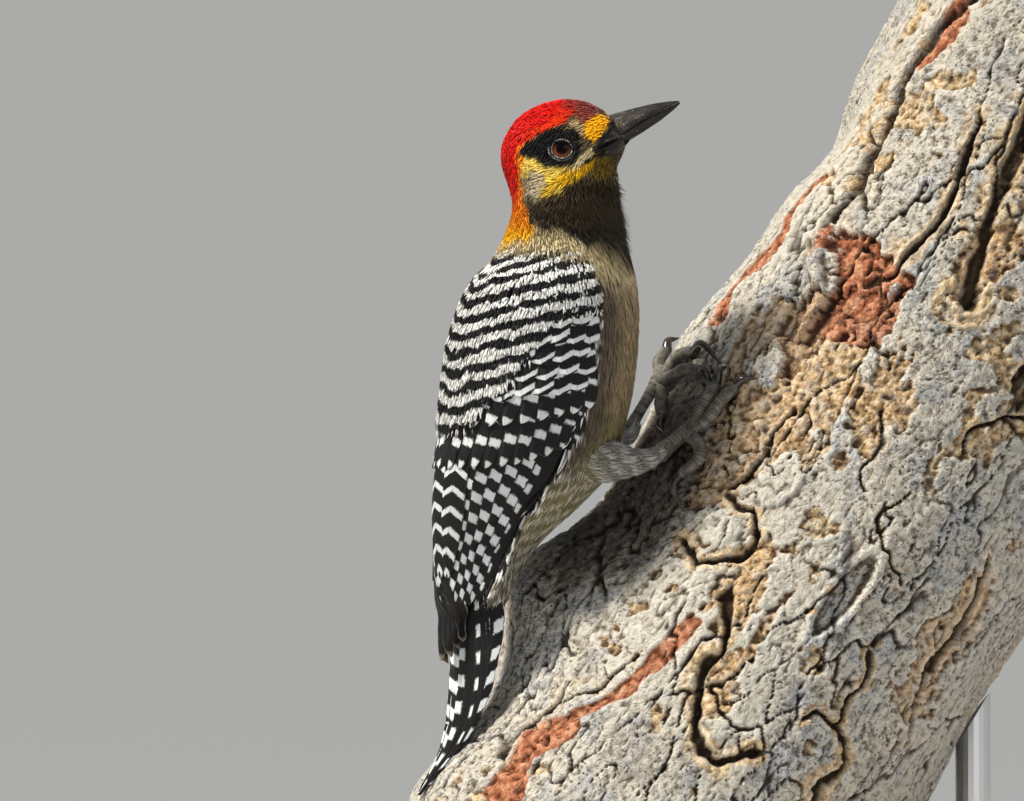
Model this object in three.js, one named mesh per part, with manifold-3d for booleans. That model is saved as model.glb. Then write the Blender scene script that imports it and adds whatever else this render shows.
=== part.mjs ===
// Golden-cheeked woodpecker (male) clinging to a cut length of leaning trunk on a display stand.
// Units are millimetres, +Z is up. +X runs to the bird's front, the way the bill points, and
// -Y is the bird's right side. The origin is the middle of the underside of the stand's base.
// Each piece is one closed solid, and neighbours keep a gap of GAP between them.

import * as THREE from 'three';
import { mergeVertices } from 'three/addons/utils/BufferGeometryUtils.js';
import Module from 'manifold-3d';

const wasm = await Module();
wasm.setup();

// ---------------------------------------------------------------- driving dimensions

const GAP = 0.3;

// the stand
const BASE_LENGTH = 200;
const BASE_WIDTH = 150;
const BASE_HEIGHT = 14;
const BASE_CORNER = 12;
const BASE_BEVEL = 1.5;
const ROD_RADIUS = 5;
const ROD_STOCK = 90;            // length of the rods before the perch trims them
const ROD_SIDES = 20;
const ROD_LOW_X = -62;
const ROD_LOW_Y = -21;
const ROD_HIGH_X = 25;
const ROD_HIGH_Y = -9;

// the perch: a leaning trunk whose axis passes through PERCH_ORIGIN
const PERCH_ORIGIN = new THREE.Vector3(-60, -20.5, 46.5);
const PERCH_AXIS = new THREE.Vector3(0.593, 0.2126, 1).normalize();
const PERCH_RADIUS = 61.5;
const PERCH_TOP = 250;
const PERCH_BOTTOM = -78;
const PERCH_RINGS = 22;
const PERCH_SIDES = 32;
const PERCH_CUT_HEIGHT = BASE_HEIGHT + 30;
// swellings of the bark: along the axis, angle round it, height, reach along, reach round
const SWELLINGS = [
  [118, 5, 5, 24, 35],
  [34, 0, 14, 19, 30],
  [190, 0, -5, 14, 30],
  [-30, 8, 5, 18, 35],
  [205, 150, 4, 30, 40],
  [60, 200, -3, 30, 30],
];

// the bird: the heading of each part, in degrees round from +X
const CHEST_HEADING = 30;
const HEAD_PITCH = 22;
const WING_THICKNESS = 3.2;
const EYE_RADIUS = 4.1;
const BILL_TILT = 24;
const BILL_LENGTH = 23.2;        // from the root inside the head to the tip

// ---------------------------------------------------------------- general geometry

const degrees = THREE.MathUtils.degToRad;
const point = (x, y, z) => new THREE.Vector3(x, y, z);
const along = (origin, direction, distance) => origin.clone().addScaledVector(direction, distance);
const forward = (heading) => point(Math.cos(degrees(heading)), Math.sin(degrees(heading)), 0);
const rightward = (heading) => point(Math.sin(degrees(heading)), -Math.cos(degrees(heading)), 0);

// value of a smooth curve through evenly counted stations
function smooth(list, place) {
  const last = list.length - 1;
  const start = Math.min(Math.floor(place), last - 1);
  const pick = (i) => list[Math.min(Math.max(i, 0), last)];
  const [a, b, c, d] = [pick(start - 1), pick(start), pick(start + 1), pick(start + 2)];
  const t = place - start;
  const blend = (p, q, r, s) => 0.5 * (2 * q + (r - p) * t + (2 * p - 5 * q + 4 * r - s) * t * t
    + (3 * q - p - 3 * r + s) * t * t * t);
  if (typeof b === 'number') {
    return blend(a, b, c, d);
  }
  return point(blend(a.x, b.x, c.x, d.x), blend(a.y, b.y, c.y, d.y), blend(a.z, b.z, c.z, d.z));
}

// closed mesh from rings of points that run from the first pole to the last
function skinRings(rings, firstPole, lastPole) {
  const sides = rings[0].length;
  const vertices = [firstPole, ...rings.flat(), lastPole];
  const faces = [];
  const at = (ring, side) => 1 + ring * sides + (side % sides);
  const end = vertices.length - 1;
  for (let side = 0; side < sides; side += 1) {
    faces.push(0, at(0, side + 1), at(0, side));
    faces.push(end, at(rings.length - 1, side), at(rings.length - 1, side + 1));
    for (let ring = 0; ring < rings.length - 1; ring += 1) {
      faces.push(at(ring, side), at(ring, side + 1), at(ring + 1, side));
      faces.push(at(ring + 1, side), at(ring, side + 1), at(ring + 1, side + 1));
    }
  }
  const geometry = new THREE.BufferGeometry();
  const numbers = vertices.flatMap((v) => v.toArray());
  geometry.setAttribute('position', new THREE.Float32BufferAttribute(numbers, 3));
  geometry.setIndex(faces);
  return geometry;
}

// stations are { at, a, b }: a centre and the two half axes of the oval there
function loft(stations, sides, steps, grow = 0) {
  const rings = [];
  const centres = stations.map((s) => s.at);
  const span = stations.length - 1;
  const grown = (axis) => axis.clone().setLength(axis.length() + grow);
  for (let step = 0; step <= steps; step += 1) {
    const place = (span * step) / steps;
    const centre = smooth(centres, place);
    const a = grown(smooth(stations.map((s) => s.a), place));
    const b = grown(smooth(stations.map((s) => s.b), place));
    const ring = [];
    for (let side = 0; side < sides; side += 1) {
      const angle = (2 * Math.PI * side) / sides;
      ring.push(along(along(centre, a, Math.cos(angle)), b, Math.sin(angle)));
    }
    rings.push(ring);
  }
  const first = centres[0].clone().sub(centres[1]).setLength(grow);
  const last = centres[span].clone().sub(centres[span - 1]).setLength(grow);
  return skinRings(rings, centres[0].clone().add(first), centres[span].clone().add(last));
}

// round limb along a few points with a radius at each
function limb(points, radii, sides, steps, grow = 0) {
  const curve = new THREE.CatmullRomCurve3(points, false, 'centripetal');
  const frames = curve.computeFrenetFrames(steps, false);
  const rings = [];
  for (let step = 0; step <= steps; step += 1) {
    const centre = curve.getPointAt(step / steps);
    const share = curve.getUtoTmapping(step / steps) * (radii.length - 1);
    const radius = smooth(radii, share) + grow;
    const ring = [];
    for (let side = 0; side < sides; side += 1) {
      const angle = (2 * Math.PI * side) / sides;
      const out = along(point(0, 0, 0), frames.normals[step], Math.cos(angle) * radius);
      ring.push(along(centre, out, 1).addScaledVector(frames.binormals[step], Math.sin(angle) * radius));
    }
    rings.push(ring);
  }
  const tail = along(points[0], frames.tangents[0], -0.3 * radii[0] - grow);
  const end = radii.length - 1;
  const tip = along(points[points.length - 1], frames.tangents[steps], 0.3 * radii[end] + grow);
  return skinRings(rings, tail, tip);
}

// a solid that can be joined and cut
function solid(geometry) {
  const bare = geometry.clone();
  bare.deleteAttribute('normal');
  bare.deleteAttribute('uv');
  const merged = mergeVertices(bare, 1e-4);
  const vertProperties = new Float32Array(merged.attributes.position.array);
  const triVerts = new Uint32Array(merged.index.array);
  const made = new wasm.Manifold(new wasm.Mesh({ numProp: 3, vertProperties, triVerts }));
  if (made.volume() > 0) {
    return made;
  }
  const turned = triVerts.map((v, i) => triVerts[i % 3 === 0 ? i : i - (i % 3) + (3 - (i % 3))]);
  return new wasm.Manifold(new wasm.Mesh({ numProp: 3, vertProperties, triVerts: turned }));
}

const join = (...solids) => solids.reduce((whole, next) => whole.add(next));
const cut = (whole, ...tools) => tools.reduce((rest, tool) => rest.subtract(tool), whole);

// everything on the side of a plane that its direction points to
function sideOf(origin, direction) {
  const size = 600;
  const block = new THREE.BoxGeometry(size, size, size);
  block.translate(0, 0, size / 2);
  const turn = new THREE.Quaternion();
  turn.setFromUnitVectors(point(0, 0, 1), direction.clone().normalize());
  block.applyQuaternion(turn);
  block.translate(origin.x, origin.y, origin.z);
  return solid(block);
}

// the two sides of a body parted by a plane, with the gap between them
function part(whole, origin, direction) {
  const normal = direction.clone().normalize();
  const far = sideOf(along(origin, normal, GAP / 2), normal);
  const near = sideOf(along(origin, normal, -GAP / 2), normal.clone().negate());
  return [whole.intersect(far), whole.intersect(near)];
}

// ---------------------------------------------------------------- materials

const finish = (color, roughness, metalness = 0) => ({ color, roughness, metalness });
const FINISHES = {
  crown: finish(0xc81c12, 0.75),
  neck: finish(0xb59a6a, 0.8),
  plumage: finish(0xa08e72, 0.8),
  barred: finish(0x55534f, 0.75),
  quills: finish(0x1a1a1c, 0.6),
  bill: finish(0x3c3937, 0.35),
  eye: finish(0x7a3416, 0.08),
  leg: finish(0x6e716e, 0.65),
  claw: finish(0x2b2622, 0.35),
  bark: finish(0xc9c0b0, 0.95),
  base: finish(0x4a3524, 0.45),
  rod: finish(0x8c8f92, 0.3, 1),
};

const group = new THREE.Group();

function place(name, shape, look) {
  let geometry = shape;
  if (!shape.isBufferGeometry) {
    const mesh = shape.getMesh();
    const corners = new Float32Array(mesh.vertProperties);
    geometry = new THREE.BufferGeometry();
    geometry.setAttribute('position', new THREE.BufferAttribute(corners, 3));
    geometry.setIndex(new THREE.BufferAttribute(new Uint32Array(mesh.triVerts), 1));
  }
  const piece = new THREE.Mesh(geometry, new THREE.MeshStandardMaterial(FINISHES[look]));
  piece.name = name;
  group.add(piece);
  return piece;
}

// ---------------------------------------------------------------- the perch

const PERCH_LEFT = point(0, 1, 0).cross(PERCH_AXIS).normalize().negate();
const PERCH_NEAR = PERCH_LEFT.clone().cross(PERCH_AXIS).normalize().negate();

// radius of the trunk at a distance along it and an angle from its left side toward -Y
function perchRadius(distance, angle) {
  let radius = PERCH_RADIUS;
  for (const [centre, facing, height, reach, spread] of SWELLINGS) {
    const turn = ((angle - facing + 540) % 360) - 180;
    radius += height * Math.exp(-(((distance - centre) / reach) ** 2) - (turn / spread) ** 2);
  }
  return radius;
}

// a point over the bark, a height above its surface
function onPerch(distance, angle, height) {
  const radius = perchRadius(distance, angle) + height;
  const centre = along(PERCH_ORIGIN, PERCH_AXIS, distance);
  const out = along(point(0, 0, 0), PERCH_LEFT, Math.cos(degrees(angle)));
  out.addScaledVector(PERCH_NEAR, Math.sin(degrees(angle)));
  return along(centre, out, radius);
}

function perchSolid(grow = 0) {
  const rings = [];
  for (let ring = 0; ring <= PERCH_RINGS; ring += 1) {
    const distance = PERCH_BOTTOM + ((PERCH_TOP + grow - PERCH_BOTTOM) * ring) / PERCH_RINGS;
    const points = [];
    for (let side = 0; side < PERCH_SIDES; side += 1) {
      points.push(onPerch(distance, (360 * side) / PERCH_SIDES, grow));
    }
    rings.push(points);
  }
  const bottom = along(PERCH_ORIGIN, PERCH_AXIS, PERCH_BOTTOM);
  const top = along(PERCH_ORIGIN, PERCH_AXIS, PERCH_TOP + grow);
  const whole = solid(skinRings(rings, bottom, top));
  return whole.intersect(sideOf(point(0, 0, PERCH_CUT_HEIGHT - grow), point(0, 0, 1)));
}

const perch = perchSolid();
const perchRoom = perchSolid(GAP);

// ---------------------------------------------------------------- the stand

function makeStand() {
  const half = point(BASE_LENGTH / 2 - BASE_BEVEL, BASE_WIDTH / 2 - BASE_BEVEL, 0);
  const outline = new THREE.Shape();
  const corner = BASE_CORNER;
  outline.moveTo(-half.x + corner, -half.y);
  outline.lineTo(half.x - corner, -half.y);
  outline.absarc(half.x - corner, -half.y + corner, corner, -Math.PI / 2, 0);
  outline.absarc(half.x - corner, half.y - corner, corner, 0, Math.PI / 2);
  outline.absarc(-half.x + corner, half.y - corner, corner, Math.PI / 2, Math.PI);
  outline.absarc(-half.x + corner, -half.y + corner, corner, Math.PI, 1.5 * Math.PI);
  const board = new THREE.ExtrudeGeometry(outline, {
    depth: BASE_HEIGHT - 2 * BASE_BEVEL,
    bevelSize: BASE_BEVEL,
    bevelThickness: BASE_BEVEL,
    bevelSegments: 1,
    curveSegments: 5,
  });
  board.translate(0, 0, BASE_BEVEL);
  place('stand_base', solid(board), 'base');
  const rods = [['stand_rod_low', ROD_LOW_X, ROD_LOW_Y], ['stand_rod_high', ROD_HIGH_X, ROD_HIGH_Y]];
  for (const [name, x, y] of rods) {
    const rod = new THREE.CylinderGeometry(ROD_RADIUS, ROD_RADIUS, ROD_STOCK, ROD_SIDES);
    rod.rotateX(Math.PI / 2);
    rod.translate(x, y, BASE_HEIGHT + GAP + ROD_STOCK / 2);
    const under = sideOf(point(0, 0, PERCH_CUT_HEIGHT - GAP), point(0, 0, 1));
    const cap = name === 'stand_rod_low' ? under : perchRoom;
    place(name, solid(rod).subtract(cap), 'rod');
  }
}

// ---------------------------------------------------------------- the bird's flesh

// level slices of the trunk of the body with its folded wings, from the collar to the tail's root:
// height, middle along X, middle along Y, heading, half depth, half width
const BODY_SLICES = [
  [216, -90.6, -57.2, 10, 14.8, 13.4],
  [207.6, -91.1, -56.0, 20, 17.0, 16.6],
  [200.5, -92.6, -55.0, 27, 20.9, 20.6],
  [191, -94.6, -54.1, 30, 25.0, 23.2],
  [177, -97.0, -52.7, 31, 27.5, 24.6],
  [163, -98.7, -51.2, 32, 27.5, 24.4],
  [150, -101.3, -49.9, 33, 26.7, 23.6],
  [140.4, -103.9, -48.7, 34, 25.6, 21.8],
  [130.5, -109.0, -47.6, 36, 20.4, 18.4],
  [120, -114.6, -46.9, 39, 13.6, 14.2],
  [110, -116.6, -46.0, 41, 10.6, 12.0],
  [104, -117.6, -45.4, 42, 8.6, 10.6],
];
const BODY_SIDES = 22;
const BODY_STEPS = 14;

function slice([height, x, y, heading, depth, width], grow = 0) {
  return {
    at: point(x, y, height),
    a: forward(heading).multiplyScalar(depth + grow),
    b: rightward(heading).multiplyScalar(width + grow),
  };
}

function bodySolid(grow = 0) {
  return solid(loft(BODY_SLICES.map((row) => slice(row, grow)), BODY_SIDES, BODY_STEPS));
}

// slices of the neck, from inside the shoulders up into the head
const NECK_SLICES = [
  [196, -92.4, -55.6, 24, 17.5, 17.5],
  [207.6, -91.1, -56.4, 16, 17.5, 16.8],
  [214, -90.4, -56.9, 8, 15.6, 14.2],
  [221, -91.0, -57.3, 3, 15.6, 12.6],
  [229, -92.4, -57.7, 0, 15.8, 11.4],
];

// slices of the head across its long axis, which rises HEAD_PITCH toward the bill:
// distance forward of its middle, top, bottom, half width
const HEAD_MIDDLE = point(-93.2, -58, 231.4);
const HEAD_SLICES = [
  [-15.8, 2.4, -6.2, 3.2],
  [-14.5, 6.8, -9.8, 6.4],
  [-11.8, 10.2, -12.0, 8.9],
  [-7.2, 13.6, -13.6, 10.9],
  [-1, 15.0, -13.4, 11.5],
  [5.5, 14.4, -12.6, 11.1],
  [10.5, 12.4, -11.4, 9.8],
  [14.2, 9.8, -9.6, 8.0],
  [17.2, 5.6, -6.8, 6.0],
  [19.0, 3.6, -4.6, 4.0],
];
const HEAD_SIDES = 18;
const HEAD_STEPS = 12;
const NECK_STEPS = 6;
const headAlong = point(Math.cos(degrees(HEAD_PITCH)), 0, Math.sin(degrees(HEAD_PITCH)));
const headUp = point(-Math.sin(degrees(HEAD_PITCH)), 0, Math.cos(degrees(HEAD_PITCH)));
const headRight = point(0, -1, 0);

// a place in the head: forward, up and to the right of its middle
function inHead(ahead, up, right) {
  return along(along(along(HEAD_MIDDLE, headAlong, ahead), headUp, up), headRight, right);
}

function headSolid() {
  const stations = HEAD_SLICES.map(([ahead, top, bottom, width]) => ({
    at: inHead(ahead, (top + bottom) / 2, 0),
    a: headUp.clone().multiplyScalar((top - bottom) / 2),
    b: headRight.clone().multiplyScalar(width),
  }));
  return solid(loft(stations, HEAD_SIDES, HEAD_STEPS));
}

// the bill: a wedge with a chisel tip, parted along the line where it opens
const BILL_ROOT = point(-80.2, -58, 236.6);
const billAlong = point(Math.cos(degrees(BILL_TILT)), 0, Math.sin(degrees(BILL_TILT)));
const billUp = point(-Math.sin(degrees(BILL_TILT)), 0, Math.cos(degrees(BILL_TILT)));
const BILL_SLICES = [
  [0, 3.9, 3.9],
  [0.2, 3.5, 3.5],
  [0.45, 2.7, 2.5],
  [0.7, 1.9, 1.6],
  [0.9, 1.0, 0.95],
  [1, 0.45, 0.5],
];

const BILL_SIDES = 10;
const BILL_STEPS = 7;

function billSolid(grow = 0) {
  const stations = BILL_SLICES.map(([share, deep, wide]) => ({
    at: along(BILL_ROOT, billAlong, share * BILL_LENGTH),
    a: billUp.clone().multiplyScalar(deep),
    b: headRight.clone().multiplyScalar(wide),
  }));
  return solid(loft(stations, BILL_SIDES, BILL_STEPS, grow));
}

const EYE_PLACE = [1.8, 0.8, 7.1];
const LID_RADIUS = 3.2;
const LID_BORE = 8;

// the opening between the lids, cut from the middle of the eye outward
function lidOpening(side) {
  const bore = new THREE.CylinderGeometry(LID_RADIUS, LID_RADIUS, LID_BORE, 12);
  const centre = inHead(EYE_PLACE[0], EYE_PLACE[1], side * (EYE_PLACE[2] + LID_BORE / 2));
  bore.translate(centre.x, centre.y, centre.z);
  return solid(bore);
}

function eyeSolid(side, grow = 0) {
  const ball = new THREE.SphereGeometry(EYE_RADIUS + grow, 12, 7);
  const centre = inHead(EYE_PLACE[0], EYE_PLACE[1], side * EYE_PLACE[2]);
  ball.rotateX(Math.PI / 2);
  ball.translate(centre.x, centre.y, centre.z);
  return solid(ball);
}

// ---------------------------------------------------------------- wings

const WING_REACH = 60;           // sideways, past the outside of the body
const COVERT_HEIGHT = 158;       // where the coverts end and the quills begin
const COVERT_SLOPE_AHEAD = -0.28;
const COVERT_SLOPE_ASIDE = -0.1;

// side outline of the folded wing: height, distance ahead of the body's middle
const WING_TIP = [193, -6];
const WING_FRONT = [
  [187, -1],
  [178, 2.6],
  [162, 4.6],
  [146, 3.6],
  [132, 1],
  [118, -2.5],
  [98, -6],
];
const WING_BACK = [
  [96, -60],
  [150, -60],
  [160, -25],
  [172, -16],
  [186, -10],
];

// the middle of the body at a height, measured along the chest's heading
function bodyMiddle(height) {
  const heights = BODY_SLICES.map((row) => row[0]);
  let upper = 0;
  while (upper < heights.length - 2 && heights[upper + 1] > height) {
    upper += 1;
  }
  const share = (heights[upper] - height) / (heights[upper] - heights[upper + 1]);
  const [, x0, y0] = BODY_SLICES[upper];
  const [, x1, y1] = BODY_SLICES[upper + 1];
  return point(x0 + (x1 - x0) * share, y0 + (y1 - y0) * share, height);
}

// a block that holds the wing of one side: side is 1 for the right and -1 for the left
function wingRoom(side, grow) {
  const ahead = forward(CHEST_HEADING);
  const across = rightward(CHEST_HEADING);
  const rows = [
    [WING_TIP[0] + 2 * grow, WING_TIP[1]],
    ...WING_FRONT.map(([height, offset]) => [height, offset + grow]),
    ...WING_BACK.map(([height, offset]) => [height + grow, offset - grow]),
  ];
  const flat = rows.map(([height, offset]) => along(bodyMiddle(height), ahead, offset));
  const near = GAP / 2 - grow;
  const inner = flat.map((p) => along(p, across, side * near));
  const outer = flat.map((p) => along(p, across, side * WING_REACH));
  const outline = rows.map(([height, offset]) => new THREE.Vector2(offset, height));
  const faces = THREE.ShapeUtils.triangulateShape(outline, []).flat();
  const count = rows.length;
  const indices = [...faces];
  for (let i = 0; i < faces.length; i += 3) {
    indices.push(faces[i] + count, faces[i + 2] + count, faces[i + 1] + count);
  }
  const turn = THREE.ShapeUtils.isClockWise(outline) ? 1 : -1;
  for (let i = 0; i < count; i += 1) {
    const next = (i + 1) % count;
    const [p, q] = turn > 0 ? [next, i] : [i, next];
    indices.push(q, p, p + count, q, p + count, q + count);
  }
  const geometry = new THREE.BufferGeometry();
  const vertices = [...inner, ...outer].flatMap((v) => v.toArray());
  geometry.setAttribute('position', new THREE.Float32BufferAttribute(vertices, 3));
  geometry.setIndex(indices);
  return solid(geometry);
}

// the free ends of the longest quills, past the rump: each a flat leaf
const QUILL_LEAVES = {
  left: [
    [128, -124.4, -43.0, 34, 1.4, 4.6],
    [114, -123.6, -44.6, 36, 1.4, 5.4],
    [101, -123.2, -46.2, 38, 1.2, 5.0],
    [92, -124.2, -46.2, 40, 1.0, 3.4],
    [86.6, -125.4, -45.4, 40, 0.6, 0.8],
  ],
  right: [
    [128, -107.5, -62.0, 74, 1.6, 5.0],
    [118, -108.4, -60.6, 70, 1.5, 5.0],
    [110, -110.6, -59.2, 66, 1.1, 3.8],
    [104, -112.6, -57.8, 62, 0.7, 1.4],
  ],
};
const LEAF_SIDES = 8;
const LEAF_STEPS = 6;

function leafSolid(name, grow = 0) {
  return solid(loft(QUILL_LEAVES[name].map((row) => slice(row, grow)), LEAF_SIDES, LEAF_STEPS));
}

// ---------------------------------------------------------------- tail

// slices of the tail from its root to the tip that bends along the bark
const TAIL_SLICES = [
  [114, -115.8, -46.0, 42, 7.0, 8.8],
  [104, -116.2, -45.4, 42, 5.4, 9.6],
  [94, -116.9, -44.8, 42, 3.6, 9.8],
  [82, -117.7, -43.6, 42, 2.6, 9.6],
  [72, -119.4, -42.6, 41, 2.1, 8.4],
  [64, -122.6, -42.2, 38, 1.7, 6.6],
  [57, -127.2, -42.6, 34, 1.3, 5.0],
  [51, -131.2, -43.6, 30, 0.9, 3.2],
];
const TAIL_SIDES = 10;
const TAIL_STEPS = 11;

function tailSolid(grow = 0) {
  return solid(loft(TAIL_SLICES.map((row) => slice(row, grow)), TAIL_SIDES, TAIL_STEPS, grow));
}

// ---------------------------------------------------------------- legs, toes and claws

// places on the bark: distance along it and angle round it
const FEET = {
  right: {
    thigh: [point(-90, -57, 150), point(-80, -57.5, 147.5), point(-69.5, -57.2, 147)],
    ankle: point(-67.4, -57, 147),
    joint: [88, 37, 3.4],
    toes: [
      {
        digit: 2,
        path: [[92, 37, 2.2], [98.6, 37.8, 2.8], [104, 37.2, 2]],
        claw: [[108, 36.6, 2.4], [110.6, 36.2, 0.9]],
      },
      {
        digit: 3,
        path: [[92.6, 40.6, 2.2], [99, 42.2, 2.8], [105, 43.4, 2]],
        claw: [[108.4, 45.4, 2.5], [110.4, 47.4, 0.9]],
      },
      {
        digit: 4,
        path: [[86.6, 42, 2.2], [82.4, 45.6, 3], [76.8, 42.4, 2.1]],
        claw: [[72, 42.6, 2.8], [67.6, 46.8, 0.9]],
      },
      {
        digit: 1,
        path: [[85, 34, 2], [82, 32.6, 2.2], [79.4, 31.8, 1.7]],
        claw: [[76.4, 31.4, 2.2], [74.4, 31.2, 0.9]],
      },
    ],
  },
  left: {
    thigh: [point(-98, -33, 153), point(-87, -29.5, 151), point(-76, -27.4, 152.2)],
    ankle: point(-73.8, -27, 152.6),
    joint: [101, 14, 3.6],
    toes: [
      {
        digit: 2,
        path: [[103.6, 19.6, 2.2], [105.6, 24.4, 2.8], [106.6, 28.8, 2]],
        claw: [[106.2, 32.4, 2.5], [104, 34.6, 0.9]],
      },
      {
        digit: 3,
        path: [[106.2, 16, 2.2], [109.4, 19, 2.8], [111.4, 22.8, 2.2]],
        claw: [[113.6, 28, 3.8], [110.6, 34, 0.9]],
      },
      {
        digit: 4,
        path: [[104, 9.6, 2.2], [108, 5, 2.8], [112, 2.4, 2]],
        claw: [[115.4, 1.2, 2.6], [118, 0.4, 0.9]],
      },
      {
        digit: 1,
        path: [[97.6, 16.6, 2], [94.8, 19, 2.4], [92, 21, 1.7]],
        claw: [[89.2, 22.8, 2.2], [87.2, 24, 0.9]],
      },
    ],
  },
};
const THIGH_RADII = [7.4, 6, 2.7];
const TOE_RADII = [1.65, 1.6, 1.3];
const CLAW_RADII = [1.15, 0.85, 0.3];
const TARSUS_RADII = [1.9, 1.6, 1.8, 2.3];
const TOE_ROOT_RADIUS = 1.5;
const LIMB_STEPS = 5;
const TOE_STEPS = 6;
const THIGH_SIDES = 10;
const TOE_SIDES = 8;
const CLAW_SIDES = 6;

function makeLeg(name, leg, bodyRoom) {
  const joint = onPerch(...leg.joint);
  const thigh = cut(solid(limb(leg.thigh, THIGH_RADII, THIGH_SIDES, LIMB_STEPS)), bodyRoom);
  place(`thigh_${name}`, thigh, 'plumage');
  const shinAt = (share) => leg.ankle.clone().lerp(joint, share);
  const tarsusLine = [leg.ankle, shinAt(0.5), shinAt(0.85), joint];
  const shin = solid(limb(tarsusLine, TARSUS_RADII, TOE_SIDES, LIMB_STEPS));
  const thighRoom = solid(limb(leg.thigh, THIGH_RADII, THIGH_SIDES, LIMB_STEPS, GAP));
  place(`tarsus_${name}`, cut(shin, thighRoom, perchRoom), 'leg');
  const rooms = [perchRoom, solid(limb(tarsusLine, TARSUS_RADII, TOE_SIDES, LIMB_STEPS, GAP))];
  for (const toe of leg.toes) {
    const knuckles = toe.path.map((spot) => onPerch(...spot));
    const root = joint.clone().lerp(knuckles[0], 0.35);
    const line = [root, ...knuckles];
    const radii = [TOE_ROOT_RADIUS, ...TOE_RADII];
    const digit = solid(limb(line, radii, TOE_SIDES, TOE_STEPS));
    place(`toe_${toe.digit}_${name}`, cut(digit, ...rooms), 'leg');
    rooms.push(solid(limb(line, radii, TOE_SIDES, TOE_STEPS, GAP)));
    const last = knuckles[knuckles.length - 1];
    const lead = last.clone().sub(knuckles[knuckles.length - 2]).normalize();
    const clawRoot = along(last, lead, 0.3 * TOE_RADII[2] + GAP + 0.4);
    const clawLine = [clawRoot, ...toe.claw.map((spot) => onPerch(...spot))];
    const claw = solid(limb(clawLine, CLAW_RADII, CLAW_SIDES, LIMB_STEPS));
    place(`claw_${toe.digit}_${name}`, cut(claw, ...rooms), 'claw');
  }
}

// ---------------------------------------------------------------- the whole bird

// the plane that parts head from neck: its height in the head, and how far it tips forward
const HEAD_PARTING = -11.6;
const HEAD_PARTING_TIP = 0.22;
// the plane that parts neck from body
const COLLAR_PLACE = point(-92, -55, 203);
const COLLAR_WAY = point(-0.1, 0, 1);
// where the mouth opens, below and ahead of the bill's root, and how far that plane leans back
const MOUTH_UNDER = -0.9;
const MOUTH_AHEAD = 8;
const MOUTH_LEAN = -0.05;

function makeBird() {
  const body = bodySolid();
  const core = bodySolid(-WING_THICKNESS);
  const coreRoom = bodySolid(-WING_THICKNESS + GAP);
  const leaves = { right: leafSolid('right'), left: leafSolid('left') };
  const leafRooms = [leafSolid('right', GAP), leafSolid('left', GAP)];

  // neck and head are modelled as one and parted
  const neck = solid(loft(NECK_SLICES.map((row) => slice(row)), HEAD_SIDES, NECK_STEPS));
  const whole = join(headSolid(), neck, body);
  const underHead = headUp.clone().addScaledVector(headAlong, HEAD_PARTING_TIP);
  const [front, rest] = part(whole, inHead(0, HEAD_PARTING, 0), underHead);
  const [throat, trunk] = part(rest, COLLAR_PLACE, COLLAR_WAY);

  const sockets = [1, -1].map((side) => join(eyeSolid(side, GAP), lidOpening(side)));
  place('head', cut(front, ...sockets, billSolid(GAP)), 'crown');
  place('neck', throat, 'neck');
  place('eye_right', eyeSolid(1), 'eye');
  place('eye_left', eyeSolid(-1), 'eye');
  const opening = along(along(BILL_ROOT, billUp, MOUTH_UNDER), billAlong, MOUTH_AHEAD);
  const mouthWay = billUp.clone().addScaledVector(billAlong, MOUTH_LEAN);
  const [upperBill, lowerBill] = part(billSolid(), opening, mouthWay);
  place('bill_upper', upperBill, 'bill');
  place('bill_lower', lowerBill, 'bill');

  const tail = cut(tailSolid(), ...leafRooms);
  const tailRoom = tailSolid(GAP);
  const shells = [cut(wingRoom(1, GAP), core), cut(wingRoom(-1, GAP), core)];
  const torso = cut(trunk, ...shells, ...leafRooms, tailRoom);
  place('body', torso, 'plumage');
  place('tail', cut(tail, perchRoom), 'quills');

  const across = rightward(CHEST_HEADING);
  for (const [name, side] of [['right', 1], ['left', -1]]) {
    const shell = cut(trunk.intersect(wingRoom(side, 0)), coreRoom);
    const wing = join(shell, leaves[name]).subtract(tailRoom);
    const other = side > 0 ? leafRooms[1] : leafRooms[0];
    const apart = wing.subtract(other);
    const slope = forward(CHEST_HEADING).multiplyScalar(COVERT_SLOPE_AHEAD).add(point(0, 0, 1));
    slope.addScaledVector(across, COVERT_SLOPE_ASIDE * side);
    const [coverts, quills] = part(apart, bodyMiddle(COVERT_HEIGHT), slope);
    place(`wing_coverts_${name}`, coverts, 'barred');
    place(`wing_quills_${name}`, quills, 'quills');
  }

  makeLeg('right', FEET.right, bodySolid(GAP));
  makeLeg('left', FEET.left, bodySolid(GAP));
}

place('perch', perch, 'bark');
makeStand();
makeBird();

export default group;
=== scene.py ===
# A male golden-cheeked woodpecker clinging to a cut length of leaning trunk, on a display stand.
# Every length below is in millimetres unless its name says otherwise; meshes are written in metres.

import math

import bmesh
import bpy
import numpy as np
from mathutils import Matrix, Vector
from mathutils.bvhtree import BVHTree
from mathutils.kdtree import KDTree


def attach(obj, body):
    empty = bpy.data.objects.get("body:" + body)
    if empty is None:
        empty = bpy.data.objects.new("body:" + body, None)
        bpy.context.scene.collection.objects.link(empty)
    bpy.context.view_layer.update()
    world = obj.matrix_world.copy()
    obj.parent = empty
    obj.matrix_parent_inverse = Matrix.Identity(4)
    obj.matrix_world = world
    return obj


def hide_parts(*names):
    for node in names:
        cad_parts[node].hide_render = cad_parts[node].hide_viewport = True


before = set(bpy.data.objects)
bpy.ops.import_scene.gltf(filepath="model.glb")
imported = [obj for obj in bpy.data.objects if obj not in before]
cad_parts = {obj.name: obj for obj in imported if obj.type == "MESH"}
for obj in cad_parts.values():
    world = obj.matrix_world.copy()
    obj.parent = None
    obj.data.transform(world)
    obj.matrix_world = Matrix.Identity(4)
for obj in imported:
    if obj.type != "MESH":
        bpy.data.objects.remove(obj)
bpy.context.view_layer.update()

MM = 0.001
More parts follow.
